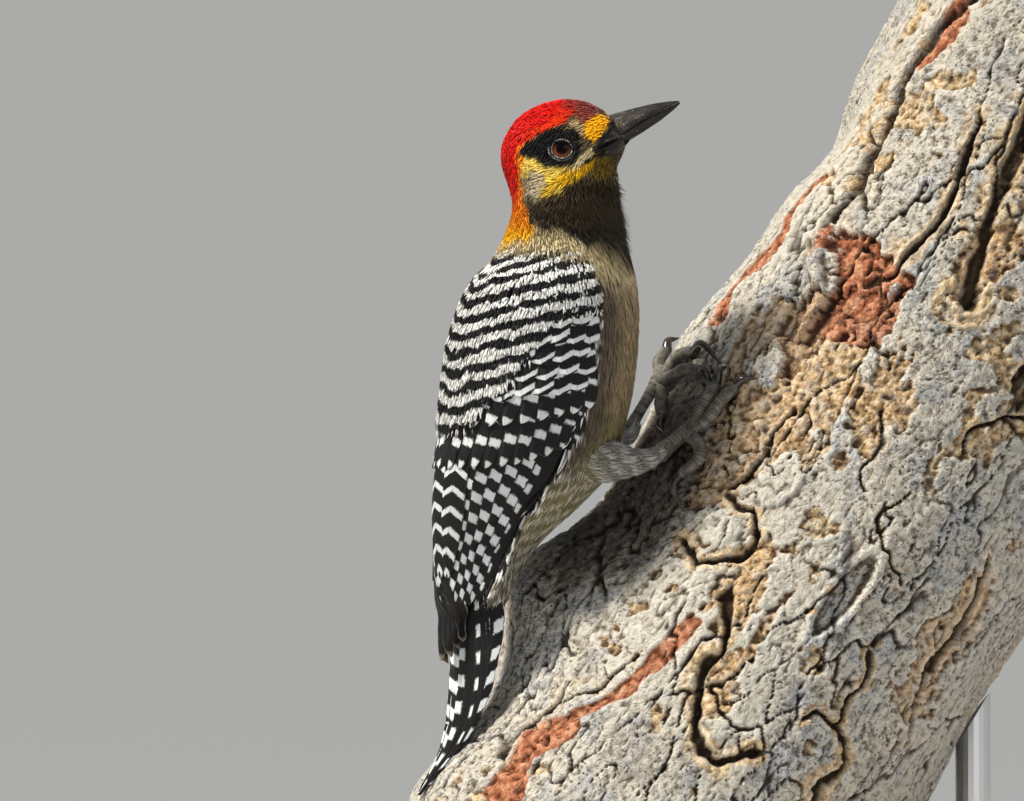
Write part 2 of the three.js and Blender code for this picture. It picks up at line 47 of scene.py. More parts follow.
UP = np.array([0.0, 0.0, 1.0])


# ---------------------------------------------------------------- small helpers

def linear(code):
    """An sRGB hex colour as a linear RGBA tuple."""
    parts = [int(code[i:i + 2], 16) / 255 for i in (0, 2, 4)]
    return tuple(c / 12.92 if c <= 0.04045 else ((c + 0.055) / 1.055) ** 2.4 for c in parts) + (1.0,)


def unit(v):
    """Vectors scaled to length one."""
    return v / np.maximum(np.linalg.norm(v, axis=-1, keepdims=True), 1e-9)


def fill(node, values):
    """Sets or links a node's inputs, by name or number."""
    for key, value in values.items():
        if isinstance(value, bpy.types.NodeSocket):
            node.id_data.links.new(value, node.inputs[key])
        else:
            node.inputs[key].default_value = value


def add(tree, kind, values=(), out=0, **settings):
    """Adds one node with its settings, fills its inputs and returns one of its outputs.
    A second word of the kind is the operation, or for a mix, which is always of colours, its mode."""
    kind, _, mode = kind.partition(" ")
    made = tree.nodes.new("ShaderNode" + kind)
    if kind == "Mix":
        out, settings = 2, dict(data_type="RGBA", blend_type=mode or "MIX")
    elif mode:
        settings["operation"] = mode
    for name, value in settings.items():
        setattr(made, name, value)
    fill(made, values if isinstance(values, dict) else dict(enumerate(values)))
    return made.outputs[out] if made.outputs else None


def material(name):
    """A new material without a shader yet, its node tree and its object coordinates."""
    look = bpy.data.materials.new(name)
    look.use_nodes = True
    look.node_tree.nodes.clear()
    return look, look.node_tree, add(look.node_tree, "TexCoord", out="Object")


def finish(look, values):
    """Gives a material its shader, with these inputs."""
    add(look.node_tree, "OutputMaterial", [add(look.node_tree, "BsdfPrincipled", values)])
    return look


def ramp(tree, factor, stops):
    """A colour ramp over the factor, with stops of (place, hex colour)."""
    out = add(tree, "ValToRGB", [factor])
    elements = out.node.color_ramp.elements
    while len(elements) < len(stops):
        elements.new(0.5)
    for element, (place, code) in zip(elements, stops):
        element.position = place
        element.color = linear(code)
    return out


def dress(piece, slot, *nodes, look=None):
    """Says what a finished piece is: its body, finish and the solids it stands for; slot is not used."""
    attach(piece, "root")
    if nodes:
        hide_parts(*nodes)
    if look:
        piece.data.materials.clear()
        piece.data.materials.append(look)


def link(name, data):
    """A new object in the scene."""
    made = bpy.data.objects.new(name, data)
    bpy.context.scene.collection.objects.link(made)
    return made


def from_bmesh(name, bm):
    """A smooth object from a bmesh in millimetres, with its doubles merged and its faces outward."""
    bmesh.ops.remove_doubles(bm, verts=bm.verts, dist=0.001)
    bmesh.ops.recalc_face_normals(bm, faces=bm.faces)
    bmesh.ops.scale(bm, vec=(MM, MM, MM), verts=bm.verts)
    mesh = bpy.data.meshes.new(name)
    bm.to_mesh(mesh)
    bm.free()
    mesh.polygons.foreach_set("use_smooth", [True] * len(mesh.polygons))
    return link(name, mesh)


def hold(mesh, **attributes):
    """Keeps values or colours on a mesh, given for each point."""
    for title, values in attributes.items():
        kind, field = "FLOAT", "value"
        if values.ndim > 1:
            kind, field = "FLOAT_COLOR", "color"
            values = np.concatenate([values, np.ones((len(values), 1))], axis=1)
        layer = mesh.attributes.new(title, kind, "POINT")
        layer.data.foreach_set(field, values.astype(np.float32).ravel())


def unwrap(mesh, uv):
    """Lays the bake's map, given for each point."""
    corners = np.empty(len(mesh.loops), np.int32)
    mesh.loops.foreach_get("vertex_index", corners)
    mesh.uv_layers.new(name="OFBake").uv.foreach_set("vector", uv[corners].astype(np.float32).ravel())


def from_arrays(name, points, quads, triangles=(), uv=None, **attributes):
    """An object from arrays in millimetres: uv and attributes are given for each point."""
    corners = np.concatenate([quads.ravel(), np.ravel(triangles)])
    sizes = np.concatenate([np.full(len(quads), 4), np.full(len(triangles), 3)])
    mesh = bpy.data.meshes.new(name)
    mesh.vertices.add(len(points))
    mesh.vertices.foreach_set("co", (points * MM).astype(np.float32).ravel())
    mesh.loops.add(len(corners))
    mesh.loops.foreach_set("vertex_index", corners.astype(np.int32))
    mesh.polygons.add(len(sizes))
    mesh.polygons.foreach_set("loop_start", (np.cumsum(sizes) - sizes).astype(np.int32))
    mesh.polygons.foreach_set("use_smooth", np.ones(len(sizes), bool))
    if uv is not None:
        unwrap(mesh, uv)
    hold(mesh, **attributes)
    mesh.update()
    mesh.validate()
    return link(name, mesh)


def grid_quads(rows, columns):
    """Faces of a grid of points whose columns wrap round."""
    number = np.arange(rows * columns).reshape(rows, columns)
    turned = np.roll(number, -1, 1)
    return np.stack([number[:-1], number[1:], turned[1:], turned[:-1]], -1).reshape(-1, 4)


def look_up(table, at):
    """The other columns of a table at a value of its first one."""
    return [np.interp(at, table[:, 0], column) for column in table.T[1:]]


def point_tree(points):
    """A tree that finds the nearest of the points."""
    tree = KDTree(len(points))
    for index, place in enumerate(points):
        tree.insert(place, index)
    tree.balance()
    return tree


def shaped_ring(bm, points):
    """A closed ring of edges through the points, in millimetres."""
    made = bmesh.ops.create_circle(bm, segments=len(points), radius=1)["verts"]
    for vert, place in zip(made, points):
        vert.co = Vector(place)
    return made


def loft(bm, rings, closed=True):
    """Joins rings of points into a skin, with a cap at each end."""
    loops = [shaped_ring(bm, ring) for ring in rings]
    for one, two in zip(loops, loops[1:]):
        edges = [e for v in one + two for e in v.link_edges if (e.other_vert(v) in one) == (v in one)]
        edges = [e for e in dict.fromkeys(edges) if e.other_vert(e.verts[0]) in one + two]
        bmesh.ops.bridge_loops(bm, edges=edges)
    if closed:
        bmesh.ops.contextual_create(bm, geom=loops[0])
        bmesh.ops.contextual_create(bm, geom=loops[-1])


# ---------------------------------------------------------------- camera, floor and light

FRAME_WIDTH = 286.7          # what the picture spans across at the bird
LENS = 400.0
SENSOR = 36.0
BIRD_Y = -52.0               # the bird's distance plane
VIEW_MIDDLE = (-105.8, 162.6)
FLOOR_RADIUS = 8000.0


def make_camera():
    data = bpy.data.cameras.new("camera")
    data.lens = LENS
    data.sensor_width = SENSOR
    data.clip_start = 0.1
    data.clip_end = 60
    camera = link("camera", data)
    away = LENS / SENSOR * FRAME_WIDTH
    camera.location = Vector((VIEW_MIDDLE[0], BIRD_Y - away, VIEW_MIDDLE[1])) * MM
    camera.rotation_euler = (math.radians(90), 0, 0)
    bpy.context.scene.camera = camera


def make_stage():
    """A flat floor that curves up into a backdrop far out on every side."""
    bm = bmesh.new()
    edge = [bm.verts.new((reach, 0, 0)) for reach in (0, FLOOR_RADIUS / 2, FLOOR_RADIUS)]
    for turn in np.radians(np.linspace(6, 72, 12)):
        edge.append(bm.verts.new((FLOOR_RADIUS + 5000 * math.sin(turn), 0, 2200 * (1 - math.cos(turn)))))
    line = [bm.edges.new(pair) for pair in zip(edge, edge[1:])]
    bmesh.ops.spin(bm, geom=edge + line, cent=(0, 0, 0), axis=(0, 0, 1), angle=2 * math.pi, steps=96,
                   use_merge=True)
    floor = from_bmesh("floor", bm)
    look, _, _ = material("pale painted floor")
    floor.data.materials.append(finish(look, {"Base Color": linear("F6F5F3"), "Roughness": 0.9}))
    world = bpy.data.worlds.new("studio")
    bpy.context.scene.world = world
    world.use_nodes = True
    fill(world.node_tree.nodes["Background"], {"Color": linear("E6E7E6"), "Strength": 0.56})


def make_light(name, place, target, size, power, colour, spread):
    """A round softbox; spread is how wide its beam opens, in degrees."""
    data = bpy.data.lights.new(name, "AREA")
    data.spread = math.radians(spread)
    data.shape = "DISK"
    data.size = size
    data.energy = power
    data.color = linear(colour)[:3]
    lamp = link(name, data)
    lamp.location = Vector(place) * MM
    aim = Vector(target) * MM - lamp.location
    lamp.rotation_mode = "QUATERNION"
    lamp.rotation_quaternion = aim.to_track_quat("-Z", "Y")


bpy.context.scene.view_settings.view_transform = "Standard"
make_camera()
make_stage()
BIRD_MIDDLE = (-95, -52, 165)
make_light("key", (-1150, -560, 1500), BIRD_MIDDLE, 0.34, 3.7, "FFF6E8", 40)
make_light("fill", (900, -1700, 700), BIRD_MIDDLE, 1.4, 0.9, "EAF1FF", 60)
make_light("rim", (500, 1500, 1100), BIRD_MIDDLE, 0.9, 1.0, "FFFFFF", 60)


# ---------------------------------------------------------------- the bird's outline, from the frame

# Rings run from the bill's root back over the head, down the neck and the body to the tail.
# Across a ring the angle is 0 on the middle of the back and 90 degrees on the bird's right.
PIVOT = np.array([-69.2, -58.0, 218.8])      # the crook under the chin that the head's rings fan round
CHEEK_RISE = 45.0                            # rise of the first of those rings, in degrees
FACE_MIDDLE = np.array([-85.5, -58.0, 233.6])
FACE_RINGS = 24                              # cones round the bill
HEAD_RINGS = 36                              # planes that fan from the face down to the neck
BODY_RINGS = 140                             # level planes
RINGS = FACE_RINGS + HEAD_RINGS + BODY_RINGS
COLUMNS = 128
BILL_RISE = 24.0                             # how far the bill points above level, in degrees
FACE_START = 17.0                            # half angle of the first cone
NECK_HEIGHT = 218.8
FOOT_HEIGHT = 82.0
RAY = 45.0                                   # rays start this far out, clear of the bird
# height, middle along X and Y, heading of the belly in degrees
BODY_LINE = np.array([
    [82, -119.5, -44.6, 42],
    [99, -118.6, -45.2, 42],
    [120, -114.6, -46.9, 39],
    [140, -104.9, -48.9, 34],
    [163, -98.7, -51.2, 32],
    [190, -94.8, -54.1, 30],
    [205, -91.6, -56.0, 18],
    [218.8, -91.3, -57.6, 0],
])
OUTER_NODES = ["head", "neck", "body", "tail", "wing_coverts_right", "wing_coverts_left",
               "wing_quills_right", "wing_quills_left", "eye_right", "eye_left"]


def node_tree_of(names):
    """A ray-casting tree of the named solids, in millimetres."""
    points, faces = [], []
    for name in names:
        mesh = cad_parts[name].data
        start = len(points)
        points += [v.co / MM for v in mesh.vertices]
        faces += [[start + i for i in p.vertices] for p in mesh.polygons]
    return BVHTree.FromPolygons(points, faces)


def blur(values, steps):
    """Smooths an array of rings by columns; columns wrap round."""
    for _ in range(steps):
        values = 0.5 * values + 0.25 * (np.roll(values, 1, 1) + np.roll(values, -1, 1))
        inner = 0.5 * values[1:-1] + 0.25 * (values[:-2] + values[2:])
        values = np.concatenate([values[:1], inner, values[-1:]])
    return values


def cone(rise, spread, angles):
    """Directions of a ring: a cone of half angle spread round an axis that rises from +X."""
    rise, spread = math.radians(rise), math.radians(spread)
    axis = np.array([math.cos(rise), 0, math.sin(rise)])
    back = np.array([-math.sin(rise), 0, math.cos(rise)])
    right = np.array([0.0, -1.0, 0.0])
    round_ = np.cos(angles)[:, None] * back + np.sin(angles)[:, None] * right
    return math.cos(spread) * axis + math.sin(spread) * round_


def make_rings():
    """Middle and outward directions of every ring, and the outline's radius along each."""
    tree = node_tree_of(OUTER_NODES)
    angles = np.linspace(0, 2 * math.pi, COLUMNS, endpoint=False)
    middles, ways = [], []
    for share in np.linspace(0, 1, FACE_RINGS, endpoint=False):
        spread = FACE_START + (90 - FACE_START) * share
        rise = BILL_RISE + (CHEEK_RISE - BILL_RISE) * share
        middles.append(FACE_MIDDLE)
        ways.append(cone(rise, spread, angles))
    neck = np.array([-91.3, -57.6, NECK_HEIGHT])
    for share in np.linspace(0, 1, HEAD_RINGS, endpoint=False):
        rise = CHEEK_RISE + (90 - CHEEK_RISE) * share
        reach = (1 - share) * np.linalg.norm(FACE_MIDDLE - PIVOT) + share * np.linalg.norm(neck - PIVOT)
        back = np.array([-math.sin(math.radians(rise)), 0, math.cos(math.radians(rise))])
        middles.append(PIVOT + reach * back)
        ways.append(cone(rise, 90, angles))
    for height in np.linspace(NECK_HEIGHT, FOOT_HEIGHT, BODY_RINGS):
        x, y, heading = look_up(BODY_LINE, height)
        turn = math.radians(heading)
        back = np.array([-math.cos(turn), -math.sin(turn), 0])
        right = np.array([math.sin(turn), -math.cos(turn), 0])
        middles.append(np.array([x, y, height]))
        ways.append(np.cos(angles)[:, None] * back + np.sin(angles)[:, None] * right)
    middles, ways = np.array(middles), np.array(ways)
    radii = np.full((RINGS, COLUMNS), np.nan)
    for ring in range(RINGS):
        for column in range(COLUMNS):
            way = ways[ring, column]
            hit = tree.ray_cast(Vector(middles[ring] + RAY * way), Vector(-way), RAY - 0.5)[0]
            if hit:
                radii[ring, column] = np.linalg.norm(np.array(hit) - middles[ring])
        gaps = np.isnan(radii[ring])
        radii[ring, gaps] = np.nanmedian(radii[ring])
    return middles, ways, blur(radii, 5)


class Form:
    """A rounded shape as rings of points, with the coat's depth on it. Rings run along the coat's lie."""

    def __init__(self, outline, ways, depth):
        self.outline = outline
        self.rings, self.columns = outline.shape[:2]
        self.down = np.gradient(outline, axis=0)
        self.round = (np.roll(outline, -1, 1) - np.roll(outline, 1, 1)) / 2
        outward = unit(np.cross(self.round, self.down))
        outward *= np.sign((outward * ways).sum(-1, keepdims=True))
        self.outward = unit(blur(outward, 3))
        self.per_ring = np.maximum(np.linalg.norm(blur(self.down, 2), axis=-1), 0.12)
        girth = np.linalg.norm(self.round, axis=-1) * self.columns
        self.per_radian = np.maximum(girth / (2 * math.pi), 1.0)
        self.depth = np.repeat(np.asarray(depth)[:, None], self.columns, 1)

    def sample(self, grid, ring, angle):
        """Values of a grid of rings by columns at any ring and angle in radians."""
        ring = np.clip(ring, 0, self.rings - 1.001)
        column = (angle / (2 * math.pi) * self.columns) % self.columns
        r0 = ring.astype(int)
        c0 = np.minimum(column.astype(int), self.columns - 1)
        c1 = (c0 + 1) % self.columns
        fr, fc = ring - r0, column - c0
        if grid.ndim == 3:
            fr, fc = fr[..., None], fc[..., None]
        top = grid[r0, c0] * (1 - fc) + grid[r0, c1] * fc
        bottom = grid[r0 + 1, c0] * (1 - fc) + grid[r0 + 1, c1] * fc
        return top * (1 - fr) + bottom * fr

    def surface(self, ring, angle, lift=0.0):
        """Points at a height over the shape."""
        place = self.sample(self.outline, ring, angle)
        return place + self.sample(self.outward, ring, angle) * np.asarray(lift)[..., None]

    def scale(self, ring, angle):
        """Millimetres per ring and per radian."""
        shape = np.broadcast(ring, angle).shape
        ring, angle = np.broadcast_to(ring, shape), np.broadcast_to(angle, shape)
        per_ring = self.sample(self.per_ring, ring.ravel(), angle.ravel()).reshape(shape)
        per_radian = self.sample(self.per_radian, ring.ravel(), angle.ravel()).reshape(shape)
        return per_ring, per_radian


MIDDLES, WAYS, RADII = make_rings()
# how deep the coat is over the skin: thin on the face, deep on the body
DEPTH_PLACES = [0, 14, 40, 62, 90, 150, RINGS - 1]
DEPTH_SIZES = [0.5, 0.8, 1.4, 2.0, 2.6, 2.6, 1.4]
BIRD = Form(MIDDLES[:, None] + RADII[..., None] * WAYS, WAYS,
            np.interp(np.arange(RINGS), DEPTH_PLACES, DEPTH_SIZES))


# ---------------------------------------------------------------- markings of skin and coat

EYE_X, EYE_Z = -91.9, 232.7                  # the eye's middle, from the side
EYE_SIDE = 7.1                               # how far out from the head's mid plane
HEAD_Y = -58.0
LID_LONG, LID_TALL = 4.1, 3.2                # half sizes of the bare ring round the eye


def ring_at(height):
    """The ring at a height on the body."""
    return FACE_RINGS + HEAD_RINGS + (NECK_HEIGHT - height) / (NECK_HEIGHT - FOOT_HEIGHT) * (BODY_RINGS - 1)


def ease(low, high, value):
    """0 below low, 1 above high, smooth between; also with high below low."""
    share = np.clip((value - low) / (high - low), 0, 1)
    return share * share * (3 - 2 * share)


def ripple(points, size, seed):
    """Smooth noise from -1 to 1 with patches about size across."""
    total = np.zeros(len(points))
    source = np.random.default_rng(seed)
    for _ in range(7):
        wave = unit(source.normal(size=3)) * source.uniform(0.7, 1.6) * 2 * math.pi / size
        total += np.sin(points @ wave + source.uniform(0, 6.28))
    return total / 3.2


def lay(colour, layers):
    """Colours with layers of (hex colour, share) painted over them, each over the last."""
    for code, share in layers:
        share = np.clip(share, 0, 1)[:, None]
        colour = colour * (1 - share) + np.array(linear(code)[:3]) * share
    return colour


def spot(x, z, long_, tall, tilt, points_x, points_z):
    """Distance into an ellipse seen from the side: 1 at its middle, 0 at its edge, less beyond."""
    turn = math.radians(tilt)
    dx, dz = points_x - x, points_z - z
    along = dx * math.cos(turn) + dz * math.sin(turn)
    across = -dx * math.sin(turn) + dz * math.cos(turn)
    return 1 - np.sqrt((along / long_) ** 2 + (across / tall) ** 2)


# Patches of the face, each painted over the last: name, colour, middle ahead of and above the eye,
# half length and half height, tilt in degrees, and how softly the edge fades.
FACE_PATCHES = [
    # the throat's dark brown patch is partly dusky feathers, partly painted shadow of the head
    ("painted shadow under the head", "33291B", 5.0, -14.0, 15.0, 8.0, 0, 0.35),
    ("pale cheek", "EFD160", -4.8, -4.6, 9.0, 4.4, -10, 0.30),
    ("grey ear coverts", "B5A88E", -6.8, -9.6, 5.0, 4.4, -25, 0.35),
    ("ear streaks", "DCC050", -1.6, -8.6, 4.6, 2.8, -60, 0.5),
    # the chin: dull gold-brown, darkened as painted shade under the bill
    ("chin", "7A6426", 11.4, -4.6, 4.6, 4.0, 40, 0.5),
    ("gold malar stripe", "E3B008", 3.6, -6.4, 8.8, 2.2, 33, 0.45),
    ("gold malar end", "D8B228", -2.8, -10.8, 4.4, 2.0, 42, 0.7),
    ("bristly lores", "E6D6A4", 7.4, -1.4, 6.6, 1.5, 36, 0.4),
    ("mouth line", "1A1613", 9.6, -1.5, 5.4, 0.75, 32, 0.5),
    ("mouth", "181514", 13.0, 0.9, 4.4, 2.1, 34, 0.3),
    ("buff brow", "A08A66", 5.6, 6.4, 4.0, 2.3, -14, 0.35),
    ("maroon forecrown", "7E3A30", 7.0, 11.0, 6.0, 3.4, -38, 0.35),
    ("gold forehead", "F0B010", 11.0, 6.0, 4.6, 4.0, 25, 0.30),
    ("red nostril feathers", "A03A2C", 14.6, 6.4, 1.0, 1.2, 0, 0.5),
]


# How far ahead of the eye the red and orange of crown and nape reach, by height over the eye.
RED_EDGE = np.array([
    (-34, -17), (-29, -14), (-25, -9.6), (-22, -8.4), (-17, -9.4), (-12, -11.0), (-6, -11.6),
    (-1.4, -10.6), (2.5, -10), (5.3, -5.3), (6.7, -1.7), (7.3, 1.4), (8.4, 2.5), (10.4, 4.5),
    (13.2, 6.2), (17, 8),
])
# How wide the orange rim of the red is there.
ORANGE_WIDE = np.array([(-20, 5.0), (-16, 4.0), (-12, 1.8), (-6, 0.9), (-1, 1.7), (1.5, 1.6), (3.5, 0.1)])


def head_paint(points):
    """Colours of the head and neck at points, the same on both sides."""
    dx, dz = points[:, 0] - EYE_X, points[:, 2] - EYE_Z
    side = np.abs(points[:, 1] - HEAD_Y)
    rough = ripple(points, 4.0, 3) * 0.45 + ripple(points, 1.6, 4) * 0.3
    dx = dx + rough
    dz = dz + 0.8 * rough
    layers = [
        ("5A5038", np.ones(len(points))),
        # the front of the neck below the face: dusky brown deepened into painted shadow of the head
        ("1F1A14", ease(-11, -16, dz) * ease(-14, -5, dx)),
        ("6E6450", 0.35 * ease(0.4, 0.9, ripple(points, 1.4, 8)) * ease(-12, -14, dz)),
    ]
    for _, code, x, z, long_, tall, tilt, soft in FACE_PATCHES:
        layers.append((code, ease(0, soft, spot(x, z, long_, tall, tilt, dx, dz))))
    streaks = ease(0.25, 0.8, ripple(points * [1.0, 1.0, 1.6], 1.3, 9)) * ease(3, 5, side)
    streaks = streaks * ease(0.0, 0.3, spot(-2.0, -7.0, 13.0, 7.0, 12, dx, dz))
    # the red crown and nape, behind a line that falls from the forehead round the ear coverts
    behind = look_up(RED_EDGE, dz)[0] - dx
    orange = look_up(ORANGE_WIDE, dz)[0]
    # the black patch round the eye, with lobes behind it
    patch = np.maximum(spot(-0.6, 1.0, 6.9, 6.1, 14, dx, dz), spot(-7.6, 0.8, 3.6, 2.7, 20, dx, dz))
    patch = np.maximum(patch, spot(-4.0, 2.0, 4.4, 3.4, 25, dx, dz))
    layers += [
        ("463A22", 0.8 * streaks),
        ("E0780A", ease(-0.5, 0.3, behind) * ease(7.0, 2.0, dz)),
        ("D41008", ease(-0.4, 0.7, behind - orange)),
        # a lighter orange-red streak over the eye: painted highlight on the crown
        ("EA4412", 0.6 * ease(0.2, 1, behind) * ease(7, 3, behind) * ease(3, 6, dz) * ease(13, 9, dz)),
        ("A60A08", ease(3.0, 5.2, behind) * ease(3, -5, dz) * ease(-14, -8, dz) * 0.8),
        ("762C26", ease(-1.5, 4.5, dx) * ease(10.0, 12.0, dz) * ease(6.5, 4.5, behind) * 0.85),
        ("DC4A12", 0.85 * ease(-9, -13.5, dz) * ease(0.8, 2.2, behind)),
        ("E2820C", ease(-12, -17.5, dz) * ease(-0.6, 0.8, behind)),
        ("E9AE08", ease(-17.5, -23.5, dz) * ease(-1.6, 0.4, behind)),
        ("EDE3B8", ease(-27, -30.5, dz) * ease(-4.5, -2.5, behind)),
        ("0D0E10", ease(-0.02, 0.12, patch) * ease(5.0, 7.5, side)),
    ]
    return lay(np.zeros((len(points), 3)), layers)


# Where the closed wing's front edge runs: height, and degrees round from the middle of the back.
WING_EDGE = np.array([
    [104, 70], [113.5, 73], [118.4, 79], [123, 84], [129, 84], [137, 87], [148, 91],
    [152, 95], [157, 98], [176, 97], [190, 97], [200, 95], [204, 86], [208, 60], [212, 0],
])


def wing_edge(height):
    return look_up(WING_EDGE, height)[0]


# ---------------------------------------------------------------- coat

BAR_GAP = 3.9                # from one bar of the back to the next
FLANK_BAR_GAP = 4.3
SCALE_SIZE = 11.0            # bars step from one patch of feathers, this long, to the next
BACK_RADIUS = 22.0


def paint(ring, angle, points):
    """Markings at points on the outline: ground colour, bar wave and how strongly barred."""
    turned = np.minimum(angle % (2 * math.pi), 2 * math.pi - angle % (2 * math.pi))
    turned_degrees = np.degrees(turned)
    height = points[:, 2]
    rough = ripple(points, 9.0, 11) * 1.1 + ripple(points, 3.0, 12) * 0.7
    wobbly = height + rough
    beside_wing = turned_degrees + 1.2 * rough - wing_edge(height)
    # breast to belly, and the side of the breast that the folded wing shades
    colour = lay(np.zeros((len(points), 3)), [
        ("8A7B60", np.ones(len(points))),
        ("BCAD8A", ease(188, 205, wobbly)),
        ("776D4C", ease(172, 152, wobbly)),
        ("847C58", ease(158, 142, wobbly) * ease(60, 95, turned_degrees)),
        ("6A6455", ease(134, 118, wobbly)),
        ("3E3833", 0.85 * ease(32, 5, beside_wing) * ease(203, 194, height) * ease(136, 150, height)),
    ])
    head_share = ease(201.5, 206.0, height + rough * 0.8 - 3.0 * np.cos(turned))[:, None]
    colour = colour * (1 - head_share) + head_paint(points) * head_share
    # cream collar between the dark neck and the mantle
    top = 207.2 + 2 * np.cos(turned) + 3.4 * ease(36, 50, turned_degrees) * ease(98, 72, turned_degrees)
    collar = ease(197.5, 200, height + 0.5 * rough) * ease(1.8, -1.8, wobbly - top)
    collar = 0.9 * collar * ease(150, 95, turned_degrees) * ease(8, 26, turned_degrees)
    colour = lay(colour, [("B7A77F", collar)])
    # bars across the back, and fainter ones over flanks and undertail
    across = np.radians(turned_degrees) * BACK_RADIUS
    row = np.floor(height / SCALE_SIZE)
    column = np.floor(across / SCALE_SIZE + 0.5 * (row % 2))
    jitter = np.sin(row * 12.9 + column * 78.2) * 43758.5
    jitter = jitter - np.floor(jitter) - 0.5
    inside = across / SCALE_SIZE + 0.5 * (row % 2) - column - 0.5
    drop = NECK_HEIGHT - 12 - height + 0.27 * across + 2.6 * inside ** 2
    loose = 0.2 + 0.25 * ease(182, 196, height)
    phase = drop / BAR_GAP - 0.00075 * drop * drop + loose * jitter + 0.09 * rough
    wave = np.cos(2 * math.pi * phase) + 0.02
    back = ease(205.5, 203.0, height + 0.6 * rough)
    back = back * ease(3, -3, turned_degrees + 2 * rough - wing_edge(height))
    low = ease(152, 143, wobbly) * ease(55, 75, turned_degrees)
    flank_wave = np.cos(2 * math.pi * (drop / FLANK_BAR_GAP + 0.3 * jitter)) - 0.1
    return colour, np.where(back > low, wave, flank_wave), np.maximum(back, 0.3 * low)


def locate(form, points):
    """The ring and angle of a form nearest each point."""
    tree = point_tree(form.outline.reshape(-1, 3))
    index = np.array([tree.find(p)[1] for p in points])
    ring, column = index // form.columns, index % form.columns
    gap = points - form.outline[ring, column]
    down, round_ = form.down[ring, column], form.round[ring, column]
    along = (gap * down).sum(-1) / np.maximum((down * down).sum(-1), 0.02)
    around = (gap * round_).sum(-1) / np.maximum((round_ * round_).sum(-1), 0.02)
    ring = np.clip(ring + np.clip(along, -1, 1), 0, form.rings - 1.001)
    return ring, (column + np.clip(around, -1, 1)) / form.columns * 2 * math.pi


def coat_material(name, rough, sheen):
    """Feather: keratin barbs, matt and soft, coloured by the markings held on the mesh."""
    look, tree, place = material(name)
    ground = add(tree, "Attribute", attribute_name="ground")
    wave, barred, shade = [add(tree, "Attribute", out="Fac", attribute_name=title)
                           for title in ("wave", "barred", "shade")]
    mottle = add(tree, "TexNoise", {"Vector": place, "Scale": 900.0, "Detail": 3.0})
    edge = add(tree, "Math", [wave, add(tree, "Math MULTIPLY_ADD", [mottle, 0.9, -0.45])])
    step = add(tree, "MapRange", {"Value": edge, "From Min": -0.12, "From Max": 0.12})
    bars = ramp(tree, step, [(0.0, "17171A"), (1.0, "D2D4D3")])
    colour = add(tree, "Mix", {"Factor": barred, 6: ground, 7: bars})
    # times the held shade: random tone per tuft, darker toward each tuft's root as painted shade between
    # the tufts
    colour = add(tree, "Mix MULTIPLY", {"Factor": 1.0, 6: colour, 7: shade})
    return finish(look, {"Base Color": colour, "Roughness": rough, "Sheen Weight": sheen,
                         "Sheen Roughness": 0.4, "Specular IOR Level": 0.13})


COAT = coat_material("barbed feather", 0.62, 0.03)
SILKY = coat_material("glossy crown feather", 0.46, 0.02)


def scatter(form, low, high, gap, keep, seed):
    """Roots spread evenly over rings low to high, about gap apart, where keep(ring, angle) allows."""
    source = np.random.default_rng(seed)
    rings = np.arange(int(low), int(high))
    area = (form.per_ring * form.per_radian)[rings] * (2 * math.pi / form.columns)
    count = int(area.sum() / gap ** 2 * 2.6)
    cell = source.choice(area.size, count, p=(area / area.sum()).ravel())
    ring = rings[cell // form.columns] + source.random(count)
    angle = (cell % form.columns + source.random(count)) / form.columns * 2 * math.pi
    chosen = keep(ring, angle) > source.random(count)
    ring, angle = ring[chosen], angle[chosen]
    points = form.surface(ring, angle)
    tree = point_tree(points)
    alive = np.ones(len(points), bool)
    for index, place in enumerate(points):
        if alive[index]:
            for _, other, _ in tree.find_range(place, gap * 0.8):
                if other > index:
                    alive[other] = False
    return ring[alive], angle[alive]


TUFT_SHAPE = [[0.0, 0.35, 0.75, 1.0], [0.7, 1.0, 0.72, 0.0]]      # share of the length, share of the width
PATCH = 0.003                                                     # how far across a tuft is on the map


